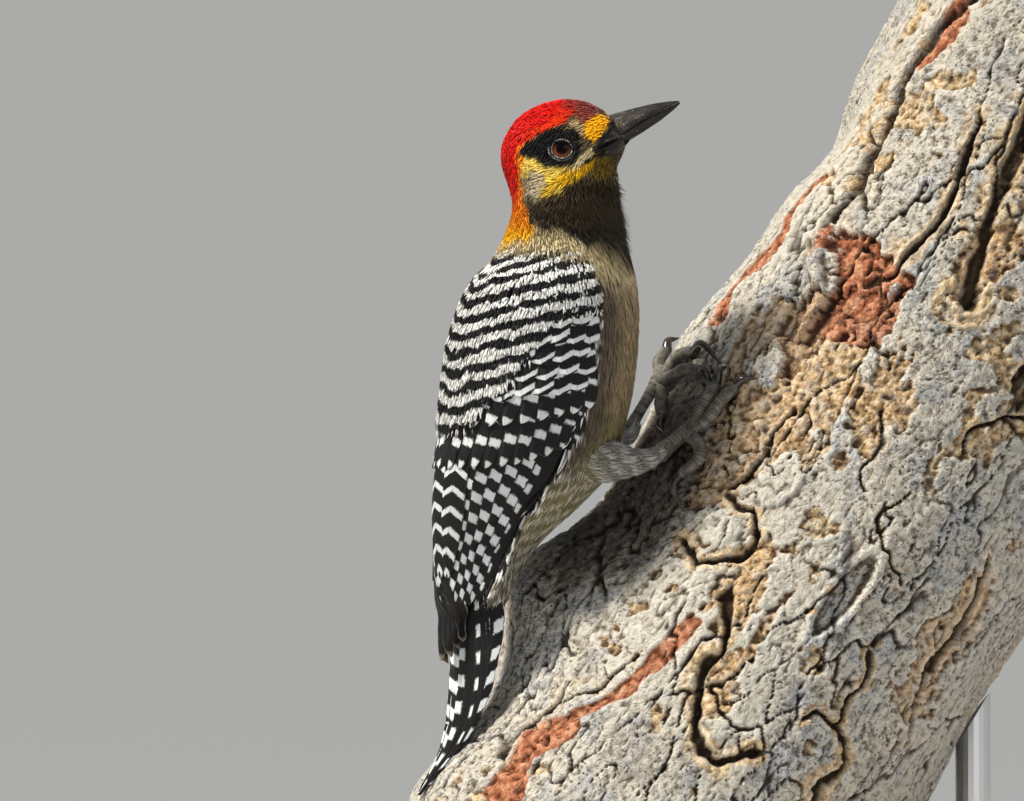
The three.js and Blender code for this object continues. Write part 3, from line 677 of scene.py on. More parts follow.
def make_tufts(name, slot, look, form, ring, angle, length, width, painter, steps=3, lift=0.25,
               sink=0.5, stray=0.14, curl=0.1, follow=0.35, seed=1, raise_=0.0, spike=0.0, turn=0.0,
               corner=(0, 0, 1)):
    """A closed, tapered tuft from each root, lying along the coat.
    The map's corner says where this form's unwrap lies and how large it is."""
    source = np.random.default_rng(seed)
    count = len(ring)
    length = length * source.uniform(0.8, 1.2, count)
    width = width * source.uniform(0.75, 1.25, count)
    stray = source.normal(0, stray, count) + turn
    bend = source.normal(0, curl, count)
    lift = lift * source.uniform(0.2, 1.5, count)
    raise_ = np.broadcast_to(raise_, count)[:, None]
    s = np.linspace(0, 1, steps + 1)
    per_ring = np.maximum(form.sample(form.per_ring, ring, angle), 0.35)
    per_radian = form.sample(form.per_radian, ring, angle)
    depth = form.sample(form.depth, ring, angle)
    heading = stray[:, None] + bend[:, None] * s
    rings = ring[:, None] + s * (length / per_ring)[:, None] * np.cos(heading)
    angles = angle[:, None] + s * (length / per_radian)[:, None] * np.sin(heading)
    height = -sink * depth[:, None] * (1 - s) ** 1.6 + lift[:, None] * s ** 1.5 - 0.1
    height = height + raise_ * (1 - (1 - s) ** 4) + np.broadcast_to(spike, count)[:, None] * s ** 2
    spine = form.surface(rings.ravel(), angles.ravel(), height.ravel()).reshape(count, steps + 1, 3)
    normal = form.sample(form.outward, rings.ravel(), angles.ravel()).reshape(count, steps + 1, 3)
    forward = unit(np.gradient(spine, axis=1))
    beside = unit(np.cross(normal, forward))
    above = unit(np.cross(forward, beside))
    wide = np.interp(s, *TUFT_SHAPE)[None] * width[:, None] / 2
    roll = source.uniform(-0.35, 0.35, count)[:, None, None]
    beside = beside + roll * above
    left = spine[:, :-1] - beside[:, :-1] * wide[:, :-1, None]
    right = spine[:, :-1] + beside[:, :-1] * wide[:, :-1, None]
    top = spine[:, :-1] + above[:, :-1] * wide[:, :-1, None] * 0.32
    body = np.stack([left, top, right], 2).reshape(count, -1, 3)
    points = np.concatenate([body, spine[:, -1:]], 1)
    each = points.shape[1]
    start = (np.arange(count) * each)[:, None, None]
    quads = []
    for k in range(steps - 1):
        for one, two in ((0, 1), (1, 2), (2, 0)):
            quads.append([3 * k + one, 3 * k + two, 3 * k + 3 + two, 3 * k + 3 + one])
    last = 3 * (steps - 1)
    closing = [[last, last + 1, last + 3], [last + 1, last + 2, last + 3],
               [last + 2, last, last + 3], [2, 1, 0]]
    quads = (start + np.array(quads)[None]).reshape(-1, 4)
    triangles = (start + np.array(closing)[None]).reshape(-1, 3)
    root = form.surface(ring, angle)[:, None]
    mixed = root * (1 - follow) + points * follow
    share = np.concatenate([np.repeat(s[:-1], 3), [1.0]])
    ring_all = ring[:, None] + follow * share * (length / per_ring)[:, None]
    angle_all = np.repeat(angle[:, None], each, 1)
    colour, wave, barred = painter(ring_all.ravel(), angle_all.ravel(), mixed.reshape(-1, 3))
    # each tuft's random tone, darkened toward its root as painted shade where the tufts overlap
    shade = np.repeat(source.uniform(0.8, 1.14, count)[:, None], each, 1) * (0.82 + 0.22 * share)
    side = np.concatenate([np.tile([-0.5, 0.0, 0.5], steps), [0.0]])
    patch = np.stack([np.tile(side, (count, 1)), np.tile(share, (count, 1))], -1) * PATCH
    place = np.stack([(angle / (2 * math.pi)) % 1, ring / form.rings], -1)
    place = np.array(corner[:2]) + 0.004 + place * (corner[2] - 0.012)
    uv = place[:, None] + patch
    made = from_arrays(name, points.reshape(-1, 3), quads, triangles, uv=uv.reshape(-1, 2),
                       ground=colour, wave=wave, barred=barred, shade=shade.ravel())
    dress(made, slot, look=look)


def eye_gap(points):
    """How far outside the bare ring round either eye, in shares of the ring's size."""
    side = np.abs(points[:, 1] - HEAD_Y)
    reach = np.sqrt(((points[:, 0] - EYE_X) / LID_LONG) ** 2 + ((points[:, 2] - EYE_Z) / LID_TALL) ** 2)
    return np.where(side > 5, reach, 9.0)


def from_back(angle):
    """Degrees round from the middle of the back, the same on both sides."""
    turned = np.degrees(angle % (2 * math.pi))
    return np.minimum(turned, 360 - turned)


def keep_head(ring, angle):
    points = BIRD.surface(ring, angle)
    return (eye_gap(points) > 1.02).astype(float)


def crown_part(ring, angle):
    points = BIRD.surface(ring, angle)
    return (points[:, 2] - EYE_Z > 7) | (points[:, 0] - EYE_X < -9.5)


def cheek_turn(ring, angle):
    """How far the feathers of cheek and ear turn toward the nape, in radians."""
    points = BIRD.surface(ring, angle)
    inside = spot(-6.0, -8.0, 12.0, 9.0, -20, points[:, 0] - EYE_X, points[:, 2] - EYE_Z)
    return 1.05 * ease(0, 0.6, inside) * np.where(angle % (2 * math.pi) < math.pi, -1, 1)


def make_head_coat():
    ring, angle = scatter(BIRD, 1, ring_at(206), 0.47, keep_head, 5)
    crown = crown_part(ring, angle)
    size = np.interp(ring, [0, 12, 30, 60, 78], [1.5, 2.2, 3.0, 4.2, 5.5])
    make_tufts("coat_crown", "plumage_crown", SILKY, BIRD, ring[crown], angle[crown], size[crown], 0.46,
               paint, steps=3, lift=0.18, stray=0.1, seed=31)
    face = ~crown
    ring, angle, size = ring[face], angle[face], size[face]
    level = BIRD.surface(ring, angle)[:, 2] - EYE_Z
    throat = ease(145, 172, from_back(angle)) * ease(-6, -10, level) * ease(-30, -20, level)
    stands = np.random.default_rng(7).random(len(ring)) ** 3 * throat
    make_tufts("coat_face", "plumage_crown", COAT, BIRD, ring, angle, size * (0.9 + 0.5 * throat), 0.4,
               paint, steps=2, lift=0.2, spike=2.6 * stands, seed=32, turn=cheek_turn(ring, angle))


def height_of(ring):
    """Height on the body of a ring."""
    return NECK_HEIGHT - (ring - FACE_RINGS - HEAD_RINGS) / (BODY_RINGS - 1) * (NECK_HEIGHT - FOOT_HEIGHT)


def keep_body(ring, angle):
    return ease(-7, 2, from_back(angle) - wing_edge(height_of(ring)))


def make_body_coat():
    ring, angle = scatter(BIRD, ring_at(208), ring_at(110), 0.9, keep_body, 6)
    size = np.interp(ring, [60, 80, 110, 150, 180], [6.0, 7.0, 8.0, 8.5, 7.0])
    make_tufts("coat_breast", "plumage_soft", COAT, BIRD, ring, angle, size, 1.0, paint, steps=3,
               lift=0.2, stray=0.12, sink=0.3, seed=33)


# How far round the hair-like mantle feathers reach: height, and degrees from the middle of the back.
MANTLE_EDGE = np.array([[157, 6], [162, 20], [170, 36], [180, 50], [188, 60], [191, 94], [208, 96]])


def keep_back(ring, angle):
    return ease(3, -4, from_back(angle) - look_up(MANTLE_EDGE, height_of(ring))[0])


def make_back_coat():
    ring, angle = scatter(BIRD, ring_at(208), ring_at(158), 0.66, keep_back, 7)
    size = np.interp(ring, [70, 85, 120], [3.6, 5.0, 7.0])
    make_tufts("coat_mantle", "plumage_soft", COAT, BIRD, ring, angle, size, 0.7, paint, steps=4, sink=0.3,
               lift=0.2, stray=0.1, follow=1.0, seed=34, raise_=1.25 * ease(205, 196, height_of(ring)))


# ---------------------------------------------------------------- vaned feathers

ACROSS = np.array([-1.0, -0.9, -0.6, -0.3, -0.05, 0.05, 0.3, 0.6, 0.9, 1.0])


def vane_material(name, dark, pale, rough):
    """Flight feather: a flat keratin vane with a faint gloss along the barbs, dark with white marks.
    The marks come from the feather's own measures, held on the mesh."""
    look, tree, place = material(name)
    barb, phase, duty, web, low, high, shaft, edge, fringe, shade = [
        add(tree, "Attribute", out="Fac", attribute_name=title)
        for title in ("barb", "phase", "duty", "web", "low", "high", "shaft", "edge", "fringe", "shade")]
    mottle = add(tree, "TexNoise", {"Vector": place, "Scale": 1300.0, "Detail": 2.0})
    comb = add(tree, "Math MULTIPLY", [barb, 3.4])
    comb = add(tree, "TexNoise", {"W": comb, "Scale": 1.0, "Detail": 1.0}, noise_dimensions="1D")
    shake = add(tree, "Math MULTIPLY_ADD", [add(tree, "Math", [mottle, comb]), 0.16, -0.16])
    # a bar lies where the phase is near the middle of its cycle, within duty's share of it
    phase = add(tree, "Math FRACT", [add(tree, "Math", [phase, shake])])
    from_middle = add(tree, "Math ABSOLUTE", [add(tree, "Math SUBTRACT", [phase, 0.5])])
    bar = add(tree, "Math SUBTRACT", [add(tree, "Math MULTIPLY", [duty, 0.5]), from_middle])
    bar = add(tree, "MapRange", {"Value": bar, "From Min": -0.025, "From Max": 0.025})
    # and only on the part of the web between low and high, not on the shaft
    web = add(tree, "Math", [web, add(tree, "Math MULTIPLY", [shake, 1.2])])
    web = add(tree, "Math MINIMUM", [add(tree, "Math SUBTRACT", [web, low]),
                                     add(tree, "Math SUBTRACT", [high, web])])
    web = add(tree, "MapRange", {"Value": web, "From Min": -0.05, "From Max": 0.05})
    shaft = add(tree, "MapRange", {"Value": shaft, "From Min": 0.07, "From Max": 0.02, "To Max": 0.6})
    mark = add(tree, "Math MULTIPLY", [add(tree, "Math MULTIPLY", [bar, web]),
                                       add(tree, "Math SUBTRACT", [1.0, shaft])])
    fade = add(tree, "MapRange", {"Value": edge, "From Min": 0.8, "From Max": 1.0, "To Max": fringe})
    colour = add(tree, "Mix", {"Factor": fade, 6: linear(dark), 7: linear("8A8270")})
    colour = add(tree, "Mix", {"Factor": mark, 6: colour, 7: linear(pale)})
    # times each feather's tone, darker on the lower wing as painted shade
    colour = add(tree, "Mix MULTIPLY", {"Factor": 1.0, 6: colour, 7: shade})
    barbs = add(tree, "Math SINE", [add(tree, "Math MULTIPLY", [barb, 17.0])])
    bump = add(tree, "Bump", {"Height": barbs, "Strength": 0.5, "Distance": 0.00006})
    return finish(look, {"Base Color": colour, "Normal": bump, "Roughness": rough,
                         "Specular IOR Level": 0.16})


# The pale marks are a dim bluish grey rather than white: partly painted shade, most on the flight feathers
BARRED_VANE = vane_material("barred covert vane", "111114", "C8CDCF", 0.6)
QUILL_VANE = vane_material("flight feather vane", "08080B", "BCC4C8", 0.55)


def vane_outline(s, point):
    """Half width along a feather, 0 at its root and 1 at its tip; point is 0 round to 1 sharp."""
    rise = ease(-0.3, 0.42, s)
    start = 0.72 - 0.3 * point
    tail = np.clip((s - start) / (1 - start), 0, 1)
    round_end = np.sqrt(np.clip(1 - tail ** 2.2, 0, 1))
    sharp_end = 1 - tail ** 1.3
    return rise * (round_end * (1 - point) + sharp_end * point) + 0.02


def make_vanes(name, slot, look, lay, scale, rows, nodes, steps=22, seed=2):
    """Joined closed vanes. Every entry of rows is a dict of one feather's measures in millimetres."""
    source = np.random.default_rng(seed)
    count = len(rows)

    def each(key, default=0.0):
        return np.array([row.get(key, default) for row in rows], float)[:, None, None]

    u = np.linspace(0, 1, steps + 1)
    s = (1 - (1 - u) ** 1.5)[None, :, None]
    t = ACROSS[None, None, :]
    a0, b0, a1, b1 = each("a0"), each("b0"), each("a1"), each("b1")
    a = a0 + (a1 - a0) * s
    b = b0 + (b1 - b0) * s + each("bow") * np.sin(math.pi * s)
    per_a, per_b = scale(a, b)
    da = np.gradient(a, axis=1) * per_a
    db = np.gradient(b, axis=1) * per_b
    size = np.maximum(np.sqrt(da * da + db * db), 1e-6)
    ahead, beside = da / size, db / size
    length = size.sum(1, keepdims=True) - size[:, :1]
    outer = np.where(t * each("side", 1) > 0, each("outer"), each("inner"))
    half = outer * vane_outline(s, each("point"))
    rag = source.uniform(0, 0.07, (count, steps + 1, len(ACROSS)))
    deep = (source.random((count, steps + 1, len(ACROSS))) < 0.07) * (s > 0.45) * 0.25
    edge = np.abs(t) > 0.95
    width = t * half * (1 - edge * (rag + deep))
    jag = edge * source.uniform(-0.35, 0.35, (count, steps + 1, len(ACROSS))) * each("jag", 1.0)
    a_at = a - width * beside / np.maximum(per_a, 0.3) + jag / np.maximum(per_a, 0.3)
    b_at = b + width * ahead / per_b
    camber = (1 - t * t) * each("camber", 0.35)
    ridge = 0.16 * np.exp(-(t / 0.08) ** 2)
    lift = each("lift0") + (each("lift1") - each("lift0")) * s + camber + ridge
    lift = lift + each("tilt") * t * each("side", 1) + each("curl") * ease(0.7, 1.0, s)
    shape = (count, steps + 1, len(ACROSS))
    full = [np.broadcast_to(v, shape).ravel() for v in (a_at, b_at, lift)]
    top = lay(*full).reshape(shape + (3,))
    thick = 0.12 + 0.18 * np.exp(-(t / 0.1) ** 2)
    full[2] = np.broadcast_to(lift - thick, shape).ravel()
    under = lay(*full).reshape(shape + (3,))
    rim = np.zeros(shape, bool)
    rim[:, [0, -1]] = True
    rim[:, :, [0, -1]] = True
    across = len(ACROSS)
    number = np.arange((steps + 1) * across).reshape(steps + 1, across)
    inner = ~rim[0]
    below = number.copy()
    below[inner] = number.size + np.arange(inner.sum())
    quads = []
    for grid, turn in ((number, 1), (below, -1)):
        cell = np.stack([grid[:-1, :-1], grid[:-1, 1:], grid[1:, 1:], grid[1:, :-1]], -1).reshape(-1, 4)
        quads.append(cell[:, ::turn])
    quads = np.concatenate(quads)
    per_vane = number.size + int(inner.sum())
    points = np.concatenate([top.reshape(count, -1, 3), under[:, inner]], 1)
    quads = (np.arange(count) * per_vane)[:, None, None] + quads[None]

    def both(values):
        values = np.broadcast_to(values, shape)
        return np.concatenate([values.reshape(count, -1), values[:, inner]], 1).ravel()

    from_tip = (1 - s) * length
    web = t * each("side", 1)
    offset = source.uniform(-0.5, 0.5, (count, 1, 1)) * each("loose", 0.12)
    phase = from_tip / each("period", 5.9) + each("slant") * web + each("start") + offset
    phase = phase + each("scallop") * (1 - np.cos(math.pi * web)) * 0.5 + each("chevron") * np.abs(t)
    # tone darkens a whole feather: below 1 it is painted shade, with a little random variation on top
    tone = each("tone", 1.0) * (1 + source.uniform(-0.12, 0.08, (count, 1, 1)))
    number_of = np.arange(count)
    cells = max(1, math.ceil(math.sqrt(count * 3)))
    uv_u = ((number_of % cells)[:, None, None] + 0.5 + 0.42 * t) / cells
    uv_v = ((number_of // cells)[:, None, None] + 0.05 + 0.9 * s) / math.ceil(count / cells)
    uv = np.stack([both(uv_u), both(uv_v)], -1)
    made = from_arrays(name, points.reshape(-1, 3), quads.reshape(-1, 4), uv=uv,
                       phase=both(phase), web=both(web), duty=both(each("duty", 0.42)),
                       low=both(each("low", -2)), high=both(each("high", 2)),
                       shaft=both(np.abs(t)), edge=both(np.maximum(np.abs(t), ease(0.9, 1.0, s))),
                       fringe=both(each("fringe", 0.05)), shade=both(tone),
                       barb=both(from_tip + np.abs(t) * outer * 0.8))
    mesh_faces_outward(made)
    dress(made, slot, *nodes, look=look)


def mesh_faces_outward(made):
    """Turns the faces of every closed shell outward."""
    bm = bmesh.new()
    bm.from_mesh(made.data)
    bmesh.ops.recalc_face_normals(bm, faces=bm.faces)
    bm.to_mesh(made.data)
    bm.free()


def wing_rows(side):
    """The feathers of one closed wing: side is 1 on the right and -1 on the left."""
    coverts, quills = [], []

    def feather(store, root, tip, **measures):
        (z0, t0), (z1, t1) = root, tip
        store.append(dict(a0=ring_at(z0), b0=math.radians(t0) * side, a1=ring_at(z1),
                          b1=math.radians(t1) * side, side=side, **measures))

    # tone below 1 paints a whole feather darker, as painted shade on the lower wing's quills and greater
    # and median coverts
    # quills, from the outermost at the bottom of the stack to the innermost tertial on top
    starts = [0.0, 0.62, 0.22, 0.75, 0.30, 0.93, 0.52, 0.10]
    for i in reversed(range(8)):
        share = i / 7
        top = 8 + 76 * share
        low = 2 + 62 * share ** 1.1
        tip = np.interp(share, [0, 0.12, 0.3, 0.6, 0.85, 1.0], [113, 108, 106, 104.5, 105, 111])
        inmost = i == 0
        marks = dict(duty=0.3, chevron=0.55, low=-0.8) if inmost else dict(duty=0.43, slant=0.36, low=0.1)
        if share == 1:
            marks["duty"] = -1.0
        feather(quills, (170, top + 3 * inmost), (tip, low + 6 * inmost), outer=4.6, inner=6.2,
                lift0=-1.4 - 0.6 * share + 0.4 * inmost, lift1=0.5 * inmost - 0.15 - 1.0 * share,
                tilt=0.35 - 0.3 * inmost, point=0.25 + 0.3 * share, period=5.9, start=starts[i],
                high=0.88 if share < 0.8 else 0.5, loose=0.3,
                camber=0.4, jag=1.8, bow=0.03 * side, tone=0.82, **marks)
    for i in range(6):
        # the long primaries show below the rest on the left
        below = [0, 22, 20, 18, 15, 12][i] if side < 0 else 0
        aside = 12 * i - 8 if side < 0 else 0
        feather(quills, (150, 82 - 4 * i), (112 - i - below, 58 - 8 * i - aside), outer=3.2, inner=4.4,
                lift0=-2.4, lift1=-1.7 + (2.6 - 0.1 * i) * (side < 0), point=0.4, duty=-1.0, period=6,
                camber=0.25, tilt=0.2, fringe=0.75, tone=0.9)
    # greater coverts, then the median and lesser ones, each row over the last
    for i in reversed(range(10)):
        share = i / 9
        feather(coverts, (172, 8 + 82 * share), (143.5 + 7.5 * share ** 3, 5 + 86 * share), outer=3.2,
                inner=3.8, lift0=-1.1, lift1=0.1 - 0.35 * share, tilt=0.3, period=6.4,
                slant=0.14, start=0.27 + 0.09 * math.sin(2.7 * i), duty=0.33 if i < 8 else 0.16, low=-0.1,
                high=0.93, loose=0.16, point=0.05, jag=0.5, tone=0.85)
    for i in reversed(range(9)):
        share = i / 8
        feather(coverts, (176, 12 + 78 * share), (155 + 5.0 * share ** 2, 8 + 86 * share), outer=3.5,
                inner=3.8, lift0=-0.6, lift1=0.4 - 0.4 * share, tilt=0.3, period=6.4,
                slant=0.16, start=0.24 + 0.08 * math.sin(1.9 * i + 1), duty=0.36 if i < 6 else 0.24,
                low=-0.2, high=0.95, loose=0.14, point=0.05, jag=0.5, tone=0.9)
    for row in range(7):
        z = 163.5 + 4.5 * row
        first = np.interp(row, [0, 3, 8], [24, 38, 58])
        last = wing_edge(z) - 3
        count = max(3, int((last - first) / 14.0) + 1)
        for i in reversed(range(count)):
            theta = first + (last - first) * (i + 0.5 * (row % 2)) / count
            rise = 0.055 * (min(theta, 76) - 50) + 0.5 * math.sin(4.3 * i + 1.7 * row)
            feather(coverts, (z + 9.5 + rise, theta - 1), (z + rise, theta), outer=3.7, inner=3.9,
                    lift0=-0.4, lift1=0.6 + 0.03 * row - 0.45 * ease(80, 97, theta), tilt=0.25,
                    period=4.7, slant=-0.26 * ease(84, 66, theta),
                    start=0.28 + 0.05 * math.sin(5.1 * i + 2.3 * row),
                    duty=0.32 + 0.05 * math.sin(3.7 * i + 1.9 * row), scallop=-0.16, loose=0.2, point=0.0,
                    jag=0.9)
    return coverts, quills


def make_wings():
    for side, word in ((1, "right"), (-1, "left")):
        coverts, quills = wing_rows(side)
        make_vanes("wing_coverts_vanes_" + word, "plumage_barred", BARRED_VANE, BIRD.surface, BIRD.scale,
                   coverts, ["wing_coverts_" + word], steps=18, seed=40 + side)
        make_vanes("wing_quill_vanes_" + word, "quills", QUILL_VANE, BIRD.surface, BIRD.scale, quills,
                   ["wing_quills_" + word], steps=34, seed=50 + side)


TAIL_TOP = 122
TAIL_HALF_WIDTH = 9.8
# The tail from its root down: height, middle along X and Y, heading, half thickness, half width.
TAIL_LINE = np.array([
    [TAIL_TOP, -115.4, -46.6, 42, 6.0, 6.5],
    [114, -115.8, -46.0, 42, 5.2, 8.8],
    [104, -116.2, -45.4, 42, 4.6, 9.6],
    [94, -116.9, -44.8, 42, 3.2, TAIL_HALF_WIDTH],
    [82, -117.7, -43.6, 42, 2.2, 9.6],
    [72, -119.4, -42.6, 41, 1.7, 8.4],
    [64, -122.6, -42.2, 38, 1.3, 6.6],
    [57, -127.2, -42.6, 34, 1.0, 5.0],
    [51, -131.2, -43.6, 30, 0.7, 3.2],
])


def tail_line(height):
    """Middle, heading, half thickness and half width at a height on the tail."""
    return look_up(TAIL_LINE[::-1], height)


def tail_lay(a, b, lift):
    """Points on the tail: a is how far below the top, b is how far to the right of its middle."""
    height = TAIL_TOP - a
    x, y, heading, thick, _ = tail_line(height)
    turn = np.radians(heading)
    back = np.stack([-np.cos(turn), -np.sin(turn), 0.25 * ease(70, 55, height)], -1)
    right = np.stack([np.sin(turn), -np.cos(turn), 0 * turn], -1)
    roof = thick * (1 - 0.9 * (b / 10) ** 2)
    place = np.stack([x, y, height], -1)
    return place + right * b[:, None] + back * (roof + lift)[:, None]


def tail_scale(a, b):
    """Millimetres per step of a and of b on the tail."""
    drop = 0.5
    slope = np.abs(tail_line(TAIL_TOP - a)[0] - tail_line(TAIL_TOP - a - drop)[0]) / drop
    shape = np.broadcast(a, b).shape
    return np.broadcast_to(np.sqrt(1 + slope ** 2), shape), np.ones(shape)


# Tail feathers from the middle pair out: shaft's place at the widest part, inner and outer half
# widths, tip height, where the marks start and the part of the web that they cover.
TAIL_RIGHT = [
    (1.2, 7.2, 3.0, 51.5, 0.19, (-0.93, -0.12)),
    (3.8, 4.6, 4.2, 54.5, 0.74, (0.10, 0.95)),
    (6.2, 4.4, 3.0, 59.0, 0.30, (0.30, 0.80)),
    (7.4, 4.2, 2.8, 66.0, 0.13, (0.15, 0.95)),
    (8.2, 3.8, 2.4, 77.0, 0.70, (0.15, 0.95)),
]
TAIL_LEFT = [
    (-4.0, 4.4, 5.6, 52.5, 0.57, (-0.9, 0.95)),
    (-5.6, 4.4, 4.8, 55.5, 0.50, (-0.2, 0.95)),
    (-6.6, 4.4, 3.6, 60.0, 0.20, (0.1, 0.95)),
    (-7.6, 4.2, 3.0, 67.0, 0.80, (0.1, 0.95)),
    (-8.3, 3.8, 2.4, 78.0, 0.30, (0.1, 0.95)),
]


def make_tail():
    rows = []
    for order in reversed(range(5)):
        for side, table in ((-1, TAIL_LEFT), (1, TAIL_RIGHT)):
            shaft, inner, outer, tip, start, (low, high) = table[order]
            narrow = tail_line(tip)[4] / TAIL_HALF_WIDTH
            first, last = 0.4 * shaft, shaft * narrow * 0.8
            rows.append(dict(
                a0=0.0, b0=first, a1=TAIL_TOP - tip, b1=last, bow=shaft - (first + last) / 2, side=side,
                outer=outer, inner=inner, lift0=-1.6 - 0.3 * order,
                lift1=0.3 - 0.28 * order + 0.14 * (side > 0), tilt=-0.25, point=0.8, period=7.75,
                slant=-0.2 if side < 0 or order else 0.06, start=start, duty=0.44, low=low, high=high,
                camber=0.5, jag=2.4, loose=0.04))
    make_vanes("tail_vanes", "quills", QUILL_VANE, tail_lay, tail_scale, rows, ["tail"], steps=44, seed=61)


# ---------------------------------------------------------------- limbs

# The feathered thighs: middle points and radii from inside the body to above the ankle.
THIGHS = {
    "right": [(-95, -54, 147.5, 7.8), (-87, -56.4, 146.6, 7.0), (-78, -57.3, 145.6, 5.7),
              (-70.5, -57.3, 145.6, 3.5), (-65.6, -56.9, 147.3, 2.2)],
    "left": [(-99, -36, 153, 7.6), (-91, -31, 153, 6.6), (-83, -28.5, 152.2, 4.8),
             (-76, -27.3, 152.2, 3.0), (-72.4, -26.8, 153.2, 2.2)],
}


def spline(points, count):
    """Points along a smooth curve through the given ones, for any number of measures each."""
    points = np.array(points, float)
    ends = np.concatenate([[2 * points[0] - points[1]], points, [2 * points[-1] - points[-2]]])
    result = []
    for place in np.linspace(0, len(points) - 1 - 1e-9, count):
        k, f = int(place), place - int(place)
        p0, p1, p2, p3 = ends[k:k + 4]
        result.append(0.5 * (2 * p1 + (p2 - p0) * f + (2 * p0 - 5 * p1 + 4 * p2 - p3) * f * f
                             + (3 * p1 - p0 - 3 * p2 + p3) * f ** 3))
    return np.array(result)


def frames(middles):
    """Side and top directions at each point of a path, without twist."""
    forward = unit(np.gradient(middles, axis=0))
    side = np.cross(forward[0], UP)
    side = side if np.linalg.norm(side) > 0.1 else np.array([1.0, 0, 0])
    sides = []
    for way in forward:
        side = unit(side - way * np.dot(side, way))
        sides.append(side)
    sides = np.array(sides)
    return sides, np.cross(sides, forward)


def limb_rings(line, around, along, grow=0.0, least=0.3):
    """Rings round a path of (x, y, z, radius)."""
    measures = spline(line, along)
    middles, radii = measures[:, :3], np.maximum(measures[:, 3] + grow, least)
    side, top = frames(middles)
    turn = np.linspace(0, 2 * math.pi, around, endpoint=False)
    circle = np.cos(turn)[None, :, None] * side[:, None] + np.sin(turn)[None, :, None] * top[:, None]
    return middles[:, None] + radii[:, None, None] * circle


def thigh_paint(ring, angle, points):
    """Thigh feathers: olive near the belly, grey toward the ankle, with dusky bars across."""
    near_ankle = ease(-90, -79, points[:, 0] + 1.5 * ripple(points, 5.0, 19))
    colour = lay(np.zeros((len(points), 3)), [("857D58", np.ones(len(points))), ("96928A", near_ankle)])
    wave = np.cos(2 * math.pi * (points[:, 0] * 0.8 + points[:, 2] * 0.5) / 4.4 + ripple(points, 7.0, 20))
    return colour, wave, np.full(len(points), 0.26)


def thigh_line(word):
    """A thigh's line, run on over the tarsus until it is thinner than the bare leg."""
    ankle, joint = np.array(LEGS[word]["ankle"]), on_perch(*LEGS[word]["joint"])
    return THIGHS[word] + [(*(ankle + 0.45 * (joint - ankle)), 1.0)]


def make_thigh_coats():
    for order, word in enumerate(THIGHS):
        rings = limb_rings(thigh_line(word), 48, 36)
        middles = rings.mean(1, keepdims=True)
        thigh = Form(rings, rings - middles, np.interp(np.arange(36), [20, 30], [1.3, 0.5]))
        ring, angle = scatter(thigh, 0, 30, 0.62, lambda r, a: np.ones(len(r)), 70 + order)
        size = np.interp(ring, [0, 16, 24, 30], [6.0, 5.6, 4.0, 2.6])
        make_tufts("coat_thigh_" + word, "plumage_soft", COAT, thigh, ring, angle, size, 0.56, thigh_paint,
                   steps=3, lift=0.4, stray=0.22, seed=35 + order, corner=(0.02 + 0.5 * order, 0.02, 0.45))


# ---------------------------------------------------------------- skin

VOXEL = 0.85
PIT_LONG, PIT_TALL, PIT_DEPTH = 3.75, 3.375, 4.6      # half sizes and depth of the pit for an eye


def make_skin():
    """One skin from the bill's root to the tail's root, with both thighs, and a pit for each eye."""
    depth = BIRD.depth + np.interp(np.arange(RINGS), [ring_at(125), ring_at(104)], [0, 4.0])[:, None]
    inside = BIRD.outline - BIRD.outward * depth[..., None]
    bm = bmesh.new()
    loft(bm, inside[:int(ring_at(103)) + 1])
    for word in THIGHS:
        loft(bm, limb_rings(thigh_line(word), 20, 12, -1.0))
    rough = from_bmesh("rough_skin", bm)
    remesh = rough.modifiers.new("one surface", "REMESH")
    remesh.mode = "VOXEL"
    remesh.voxel_size = VOXEL * MM
    view = bpy.context.evaluated_depsgraph_get()
    mesh = bpy.data.meshes.new_from_object(rough.evaluated_get(view))
    bpy.data.objects.remove(rough)
    # smooths the steps of the voxels away, then sinks a pit for each eye
    bm = bmesh.new()
    bm.from_mesh(mesh)
    for _ in range(4):
        bmesh.ops.smooth_vert(bm, verts=bm.verts, factor=0.5, use_axis_x=True, use_axis_y=True,
                              use_axis_z=True)
    for vert in bm.verts:
        x, y, z = vert.co / MM
        side = abs(y - HEAD_Y)
        reach = math.hypot((x - EYE_X) / PIT_LONG, (z - EYE_Z) / PIT_TALL)
        if side > 4 and reach < 1:
            sink = PIT_DEPTH * (1 - reach ** 3)
            vert.co.y -= math.copysign(sink, y - HEAD_Y) * MM
    mesh = bpy.data.meshes.new("skin")
    bm.to_mesh(mesh)
    bm.free()
    points = np.empty(len(mesh.vertices) * 3)
    mesh.vertices.foreach_get("co", points)
    points = points.reshape(-1, 3) / MM
    colour, wave, barred = paint(*locate(BIRD, points), points)
    hold(mesh, wave=wave, barred=barred, shade=np.full(len(points), 0.8), ground=colour)
    mesh.polygons.foreach_set("use_smooth", [True] * len(mesh.polygons))
    dress(link("skin", mesh), "plumage_soft", "head", "neck", "body", "thigh_right", "thigh_left",
          look=COAT)


# ---------------------------------------------------------------- eyes

EYE_RADIUS = 4.1


def outline_tree():
    faces = grid_quads(RINGS, COLUMNS)
    return BVHTree.FromPolygons(BIRD.outline.reshape(-1, 3).tolist(), faces.tolist())


FORM = outline_tree()


def side_of_head(x, z, side):
    """How far out the head's outline lies from its mid plane at a place seen from the side, 0 off it."""
    hit = FORM.ray_cast(Vector((x, HEAD_Y - 40 * side, z)), Vector((0, side, 0)), 40)[0]
    return abs(hit.y - HEAD_Y) if hit else 0.0


